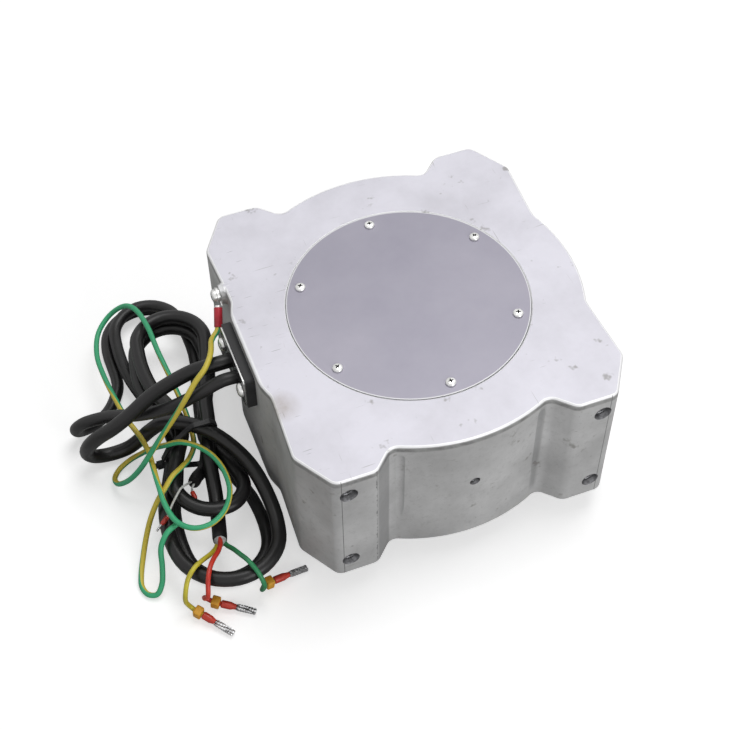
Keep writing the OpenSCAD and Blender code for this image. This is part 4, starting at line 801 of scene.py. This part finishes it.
def build_handling(tree, vector, size):
    """Handling marks: cloudy drifts as tone, rubbed spots and fine scratches two ways as height."""
    warp = add(tree, "ShaderNodeTexNoise", Vector=vector, Scale=30.0, Detail=2.0).outputs["Color"]
    bend = add(tree, "ShaderNodeVectorMath", warp, operation="SCALE", Scale=0.004).outputs[0]
    moved = add(tree, "ShaderNodeVectorMath", vector, bend, operation="ADD").outputs[0]
    total = mapped(tree, noise(tree, vector, times(tree, size, 3.1), 3.0, 0.7), 0.645, 0.72)
    for angle, scale in ((0.5, (900, 22, 900)), (-1.1, (30, 1100, 1100))):
        turn = add(tree, "ShaderNodeMapping", Vector=moved, Rotation=(0, 0, angle), Scale=scale).outputs[0]
        total = most(tree, total, mapped(tree, noise(tree, turn, 1.0, 1.0), 0.765, 0.80, 0, 0.7))
    return noise(tree, vector, size, 5.0, 0.6), total


handling_group = surface_group("handling_marks", 26.0, build_handling)


def between(tree, value, low, high, soft):
    """A mask that is one where the value lies between low and high."""
    return times(tree, mapped(tree, value, low - soft, low + soft),
                 mapped(tree, value, high - soft, high + soft, 1, 0))


def blended(tree, mask, under, over):
    """The colour under, changed to the colour over where the mask is one."""
    mix = add(tree, "ShaderNodeMix", data_type="RGBA", Factor=mask)
    for socket, colour in zip([s for s in mix.inputs if s.type == "RGBA"], (under, over)):
        feed(tree, colour, socket)
    return [s for s in mix.outputs if s.type == "RGBA"][0]


tree, surface = cast_tree, cast_surface
where = add(tree, "ShaderNodeTexCoord").outputs
place = add(tree, "ShaderNodeSeparateXYZ", where["Object"]).outputs
facing = add(tree, "ShaderNodeSeparateXYZ", where["Normal"]).outputs
marks = add(tree, "ShaderNodeGroup", where["Object"], node_tree=handling_group).outputs
wide, deep = reckoned(tree, "ABSOLUTE", place["X"]), reckoned(tree, "ABSOLUTE", place["Y"])
mottle = noise(tree, where["Object"], 330.0, 5.0, 0.75)
patchy = noise(tree, where["Object"], 130.0, 4.0, 0.7)
ragged = reckoned(tree, "MULTIPLY_ADD", noise(tree, where["Object"], 420.0, 3.0), 0.0034, wide)
drag = add(tree, "ShaderNodeMapping", Vector=where["Object"], Rotation=(0, 0, 0.04), Scale=(75, 1300, 60))
strokes = noise(tree, drag.outputs[0], 1.0, 1.0)
from_smudge = add(tree, "ShaderNodeVectorMath", where["Object"], (-0.084, -0.041, 0.101),
                  operation="DISTANCE").outputs["Value"]
top = mapped(tree, facing["Z"], 0.80, 0.97)
sides = toned(tree, marks["Tone"], (0.46, 0.46, 0.46), (0.68, 0.68, 0.68), 0.3, 0.7)
sides = blended(tree, mapped(tree, mottle, 0.52, 0.72, 0, 0.26), sides, (0.24, 0.24, 0.235))
milled = toned(tree, marks["Tone"], (0.56, 0.55, 0.60), (0.68, 0.67, 0.73), 0.3, 0.62)
colour = blended(tree, top, sides, milled)
# Painted highlights: the rounded top and bottom edges of the casting are painted near white.
upper_rim_highlight = times(tree, between(tree, facing["Z"], 0.45, 0.992, 0.004),
                  between(tree, place["Z"], 0.0997, 0.12, 0.0002))
lower_rim_highlight = times(tree, between(tree, facing["Z"], -0.95, -0.16, 0.04),
                  between(tree, place["Z"], 0.0, 0.0168, 0.0003))
# Painted highlight: the top's outer strip along the left edge is painted light.
left_edge_highlight = times(tree, between(tree, place["X"], -0.1, -0.0883, 0.0005), top)
outer_line = between(tree, wide, 0.0716, 0.0719, 0.0001)
inner_line = times(tree, between(tree, ragged, 0.0540, 0.0550, 0.0003),
                   between(tree, place["X"], -0.2, -0.03, 0.01), mapped(tree, patchy, 0.36, 0.44))
lines = times(tree, most(tree, outer_line, inner_line), between(tree, deep, 0.0934, 0.12, 0.0002))
# Painted shade: a dark strip in the corner between lobe and lug at x 0.037 to 0.040, and dark valley slopes
# that face +X.
corner = times(tree, between(tree, place["X"], 0.0366, 0.0403, 0.0010),
               between(tree, place["Z"], 0.024, 0.0960, 0.0040))
slope = times(tree, between(tree, wide, 0.036, 0.0552, 0.0006), between(tree, facing["X"], 0.50, 0.95, 0.08))
painted_valley_shade = times(tree, most(tree, corner, slope), between(tree, deep, 0.080, 0.0933, 0.0004), 0.5)
# Painted shade: a patchy dark band on the sides just below the top rim.
painted_shade_below_rim = times(tree, between(tree, place["Z"], 0.0970, 0.0997, 0.0005),
              mapped(tree, patchy, 0.42, 0.62, 0.4, 0.8), between(tree, facing["Z"], -0.9, 0.5, 0.06))
scratched = times(tree, mapped(tree, strokes, 0.71, 0.75, 0, 0.6),
                  between(tree, place["X"], -0.094, -0.070, 0.004), top)
smudge = times(tree, mapped(tree, from_smudge, 0.011, 0.003, 0, 0.8), patchy)
for mask, paint in (
    (most(tree, upper_rim_highlight, lower_rim_highlight), (0.90, 0.90, 0.91)),
    (left_edge_highlight, (0.84, 0.84, 0.86)),
    (lines, (0.11, 0.11, 0.11)),
    (painted_valley_shade, (0.22, 0.22, 0.225)),
    (painted_shade_below_rim, (0.17, 0.17, 0.165)),
    (times(tree, marks["Height"], 0.6), (0.20, 0.19, 0.17)),
    (scratched, (0.22, 0.22, 0.23)),
    (smudge, (0.30, 0.25, 0.20)),
):
    colour = blended(tree, mask, colour, paint)
pores = noise(tree, where["Object"], 900.0, 3.0)
finished(tree, surface, marks["Tone"], 0.46, 0.64, pores, mapped(tree, top, 0, 1, 0.55, 0.12), 0.00012,
         Base_Color=colour, Metallic=0.4)
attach(case, "motor_case")
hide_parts("housing")

# Rear cover: a round sheet 2.5 mm thick with a thin protective film over it, pinned by
# six small cross-head screws on a black gasket. Its turned rim is painted light, partly
# as bare metal beyond the film and partly as a painted highlight on the edge.
def from_axis(tree, parts):
    """The distance from the shaft's line, out of the parts of a place."""
    flat = add(tree, "ShaderNodeCombineXYZ", parts["X"], parts["Y"]).outputs[0]
    return add(tree, "ShaderNodeVectorMath", flat, operation="LENGTH").outputs["Value"]


cover = nodes["rear_cover"]
film, tree, surface = blank_material("cover_film")
where = add(tree, "ShaderNodeTexCoord").outputs["Object"]
marks = add(tree, "ShaderNodeGroup", node_tree=handling_group, Vector=where, Size=14.0).outputs
colour = toned(tree, marks["Tone"], (0.34, 0.325, 0.40), (0.43, 0.41, 0.485), 0.3, 0.7)
# Outside the film the rim is painted light: bare turned metal and a painted highlight.
rim = between(tree, from_axis(tree, add(tree, "ShaderNodeSeparateXYZ", where).outputs), 0.0635, 0.08, 0.0001)
finished(tree, surface, marks["Tone"], 0.32, 0.5, marks["Tone"], 0.15, 0.0004,
         Base_Color=blended(tree, rim, colour, (0.78, 0.78, 0.80)), Metallic=0.15, Coat_Weight=0.25,
         Coat_Roughness=0.25)
wear(cover, film)

# Gasket, shaft seal and clamp block: black rubber, moulded or cut from sheet, matt
# with a fine grain.
rubber = moulded("black_rubber", (0.010, 0.010, 0.011), (0.024, 0.024, 0.026), 0.6, 120.0, 0.00008)
for name in ("cover_gasket", "shaft_seal"):
    wear(nodes[name], rubber)

# Screws, washers and bright small parts: zinc plated steel, turned and plated. Each pan
# head is domed, with a cross recess whose walls are painted dark as shade.
zinc = metal("zinc_plate", (0.68, 0.68, 0.67), (0.88, 0.88, 0.87), 0.22, 0.38, 300.0, 0.75, 0.3)
for name in ("board_screws", "earth_washer", "pulley_flanges"):
    wear(nodes[name], zinc)


def cross_head(name, foot, out, shank, length, head, height, turn):
    """A cross-head pan screw: a domed head on its seat at foot, and a shank that goes into the piece."""
    screw = lathed(name, (0, 0, 0), (0, 0, 1), [
        (-length, shank * 0.4), (-length + 0.0004, shank * 0.5), (-0.0001, shank * 0.5), (0, head * 0.47),
        (height * 0.12, head * 0.5), (height * 0.42, head * 0.5), (height * 0.66, head * 0.46),
        (height * 0.84, head * 0.37), (height * 0.95, head * 0.25), (height, head * 0.1)], 32)
    for angle in (0, math.pi / 2):
        blade = block("blade", (0, 0, height), (head * 0.66, head * 0.19, height * 1.1))
        blade.rotation_euler.z = angle
        settle()
        for vertex in blade.data.vertices:
            if vertex.co.z < height:
                vertex.co.x *= 0.45
                vertex.co.y *= 0.45
        # The recess walls take the painted shade.
        wear(blade, recess_painted_shade)
        bored(screw, blade)
    screw.matrix_world = aimed(foot, Vector(foot) + Vector(out)) @ Matrix.Rotation(turn, 4, "Z")
    choose(screw)
    settle()
    shade(32)
    return screw


cover_screw_circle = 0.0575
screws = []
for number in range(6):
    a = math.radians(30 + 60 * number)
    foot = (cover_screw_circle * math.cos(a), cover_screw_circle * math.sin(a), top_level)
    screws.append(("cover_screw_%d" % (number + 1), foot, (0, 0, 1), 0.003, 0.008, 0.0056, 0.0019,
                   0.4 + 1.1 * number, "cover_screws"))
for number, y in enumerate((0.021, -0.011)):
    screws.append(("clamp_screw_%d" % (number + 1), (-0.096, y, 0.0835), (-1, 0, 0), 0.004, 0.012, 0.0076,
                   0.0029, 0.3 + number, "clamp_screws"))
screws.append(("earth_screw_1", (-0.0917, 0.045, 0.0948), (-1, 0, 0), 0.004, 0.012, 0.0074, 0.0028, 0.7,
               "earth_screw"))
for name, foot, out, shank, length, head, height, turn, node in screws:
    screw = cross_head(name, foot, out, shank, length, head, height, turn)
    screw.data.materials[0] = zinc
    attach(screw, "motor_case")
    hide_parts(node)

# Clamp, ring terminal and its sleeve: a moulded rubber block under a thin dark plated
# plate, and a tinned terminal in a red vinyl sleeve. The plate's outer face is dark
# partly as plating and partly as a painted dark reflection; its sheared edges are
# painted light, partly as bare cut metal and partly as a painted highlight.
def eased_copy(node, name, width, material, segments=3):
    """The CAD piece again, with its edges broken by a small round."""
    piece = bpy.data.objects.new(name, nodes[node].data.copy())
    bpy.context.collection.objects.link(piece)
    choose(piece)
    bpy.ops.object.mode_set(mode="EDIT")
    bpy.ops.mesh.select_all(action="SELECT")
    bpy.ops.mesh.remove_doubles(threshold=0.000005)
    bpy.ops.mesh.select_all(action="SELECT")
    bpy.ops.mesh.dissolve_limited(angle_limit=math.radians(1))
    bpy.ops.object.mode_set(mode="OBJECT")
    rounded(piece, width, segments, 40)
    shade(32)
    wear(piece, material)
    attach(piece, "motor_case")
    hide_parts(node)
    return piece


clamp_steel, tree, surface = blank_material("clamp_steel")
where = add(tree, "ShaderNodeTexCoord").outputs
skin = add(tree, "ShaderNodeGroup", node_tree=skin_group, Vector=where["Object"], Size=80.0).outputs
facing = add(tree, "ShaderNodeSeparateXYZ", where["Normal"]).outputs
# The outer face is painted dark: its plating and a painted dark reflection. The other faces, the sheared
# edges, are painted light: bare cut metal and a painted highlight.
plated = toned(tree, skin["Tone"], (0.05, 0.05, 0.055), (0.11, 0.11, 0.115))
bare_edge_and_highlight = toned(tree, skin["Tone"], (0.50, 0.50, 0.50), (0.80, 0.80, 0.79))
outer = between(tree, facing["X"], -1.1, -0.85, 0.05)
finished(tree, surface, skin["Tone"], 0.2, 0.36, skin["Height"], 0.4, 0.00003,
         Base_Color=blended(tree, outer, bare_edge_and_highlight, plated), Metallic=0.8)
sleeve_vinyl = moulded("terminal_sleeve_red", (0.50, 0.014, 0.030), (0.66, 0.03, 0.055), 0.3, 200.0, 0.00003)
eased_copy("clamp_block", "clamp_rubber_block", 0.0007, rubber)
eased_copy("clamp_plate", "clamp_cover_plate", 0.00022, clamp_steel)
eased_copy("ring_terminal", "ring_terminal_tinned", 0.0002, zinc, 2)
eased_copy("terminal_sleeve", "terminal_sleeve_vinyl", 0.0003, sleeve_vinyl, 2)

# End shield, its screws, the circlips and the pulley's grub screws: turned aluminium
# with rings about the shaft's line, and black oxide on the steel.
def build_turned(tree, vector, size):
    """Turning marks: rings about the shaft's line, with a slow drift of tone."""
    parts = add(tree, "ShaderNodeSeparateXYZ", vector).outputs
    ring = add(tree, "ShaderNodeCombineXYZ", from_axis(tree, parts), parts["Z"]).outputs[0]
    return noise(tree, vector, 40.0, 3.0), noise(tree, ring, size, 3.0, 0.7)


turned_group = surface_group("turning_marks", 1400.0, build_turned)


def turned_metal(name, dark, light, low, high, size=1400.0, metallic=1.0):
    """Turned or ground metal with rings about the shaft's line."""
    return covered(name, turned_group, size, dark, light, low, high, 0.35, 0.00005, "Height",
                   Metallic=metallic)


wear(nodes["end_shield"], turned_metal("turned_aluminium", (0.52, 0.52, 0.54), (0.66, 0.66, 0.68), 0.3, 0.5,
                                       900.0, 0.6))
black_oxide = metal("black_oxide", (0.03, 0.03, 0.032), (0.06, 0.06, 0.065), 0.35, 0.55, 200.0)
for name in ("shield_screws", "bearing_circlip", "shaft_circlip", "grub_screws"):
    wear(nodes[name], black_oxide)

# Shaft, key, bearings and pulley: ground and turned steel. The balls are polished, and
# their cages are brass.
ground = turned_metal("ground_steel", (0.46, 0.46, 0.48), (0.62, 0.62, 0.64), 0.16, 0.3, 2600.0)
for name in ("output_shaft", "front_bearing_outer", "front_bearing_inner", "rear_bearing_outer",
             "rear_bearing_inner", "wave_washer"):
    wear(nodes[name], ground)
polished = metal("polished_steel", (0.62, 0.62, 0.64), (0.72, 0.72, 0.74), 0.05, 0.1, 200.0)
for name in ("front_balls", "rear_balls"):
    wear(nodes[name], polished)
wear(nodes["shaft_key"], metal("key_steel", (0.38, 0.38, 0.4), (0.52, 0.52, 0.54), 0.25, 0.4, 150.0))
wear(nodes["drive_pulley"], turned_metal("pulley_steel", (0.40, 0.40, 0.42), (0.56, 0.56, 0.58), 0.25, 0.42))
brass = turned_metal("cage_brass", (0.48, 0.34, 0.12), (0.60, 0.44, 0.17), 0.25, 0.4, 1800.0)
for name in ("front_cage", "rear_cage"):
    wear(nodes[name], brass)

# Stator: stacked laminations with a moulded frame and a copper coil on each tooth. The
# bands of the stack and the turns of the coils show as fine waves.
def layered(name, dark, light, low, high, strength, relief, wave, **inputs):
    """Layers or turns that show as fine bands under a drifting gloss."""
    material, tree, surface = blank_material(name)
    where = add(tree, "ShaderNodeTexCoord").outputs["Object"]
    bands = add(tree, "ShaderNodeTexWave", Vector=where, **wave).outputs["Fac"]
    skin = add(tree, "ShaderNodeGroup", where, node_tree=skin_group).outputs
    finished(tree, surface, skin["Tone"], low, high, bands, strength, relief,
             Base_Color=toned(tree, bands, dark, light, 0.2, 0.8), **inputs)
    return material


wear(nodes["stator_core"], layered(
    "stacked_sheet", (0.10, 0.10, 0.11), (0.24, 0.24, 0.25), 0.4, 0.6, 0.6, 0.0001,
    {"wave_type": "BANDS", "bands_direction": "Z", "Scale": 320.0}, Metallic=0.8))
wear(nodes["coil_bobbins"], moulded("bobbin_plastic", (0.62, 0.58, 0.45), (0.74, 0.70, 0.58), 0.5, 90.0))
wear(nodes["stator_coils"], layered(
    "enamelled_winding", (0.22, 0.075, 0.022), (0.52, 0.22, 0.075), 0.25, 0.4, 0.8, 0.0003,
    {"wave_type": "RINGS", "rings_direction": "Z", "Scale": 420.0}, Metallic=0.85, Coat_Weight=0.5))
wear(nodes["phase_leads"], moulded("lead_red", (0.42, 0.02, 0.015), (0.55, 0.035, 0.02), 0.4, 160.0))

# Rotor: a turned hub with plated magnets on its rim, and the encoder's magnet in its
# holder at the rear end of the shaft.
wear(nodes["rotor_hub"], turned_metal("hub_steel", (0.26, 0.26, 0.27), (0.40, 0.40, 0.42), 0.3, 0.5, 900.0))
plated = metal("plated_magnet", (0.42, 0.41, 0.38), (0.56, 0.55, 0.52), 0.2, 0.36, 60.0)
for name in ("rotor_magnets", "encoder_magnet"):
    wear(nodes[name], plated)
wear(nodes["magnet_holder"], turned_metal("holder_aluminium", (0.60, 0.60, 0.62), (0.72, 0.72, 0.74), 0.25,
                                          0.4))

# Encoder board: green solder mask with copper areas showing through, on brass posts,
# with a white plug, thin yellow wires and the cable ends.
mask, tree, surface = blank_material("solder_mask")
where = add(tree, "ShaderNodeTexCoord").outputs["Object"]
tracks = add(tree, "ShaderNodeTexBrick", Vector=where, Scale=60.0, Color1=(0.006, 0.095, 0.030),
             Color2=(0.008, 0.115, 0.036), Mortar=(0.012, 0.17, 0.055), Mortar_Size=0.03).outputs
skin = add(tree, "ShaderNodeGroup", where, node_tree=skin_group).outputs
finished(tree, surface, skin["Tone"], 0.2, 0.35, tracks["Fac"], 0.4, 0.00005, Base_Color=tracks["Color"])
wear(nodes["encoder_board"], mask)
wear(nodes["board_plug"], moulded("plug_white", (0.72, 0.70, 0.64), (0.82, 0.80, 0.75), 0.4, 150.0))
wear(nodes["board_posts"], metal("post_brass", (0.50, 0.36, 0.13), (0.62, 0.47, 0.19), 0.2, 0.35, 200.0))
wear(nodes["signal_wires"], moulded("signal_yellow", (0.55, 0.46, 0.04), (0.68, 0.58, 0.06), 0.4, 200.0))
wear(nodes["inner_cables"], power_black)
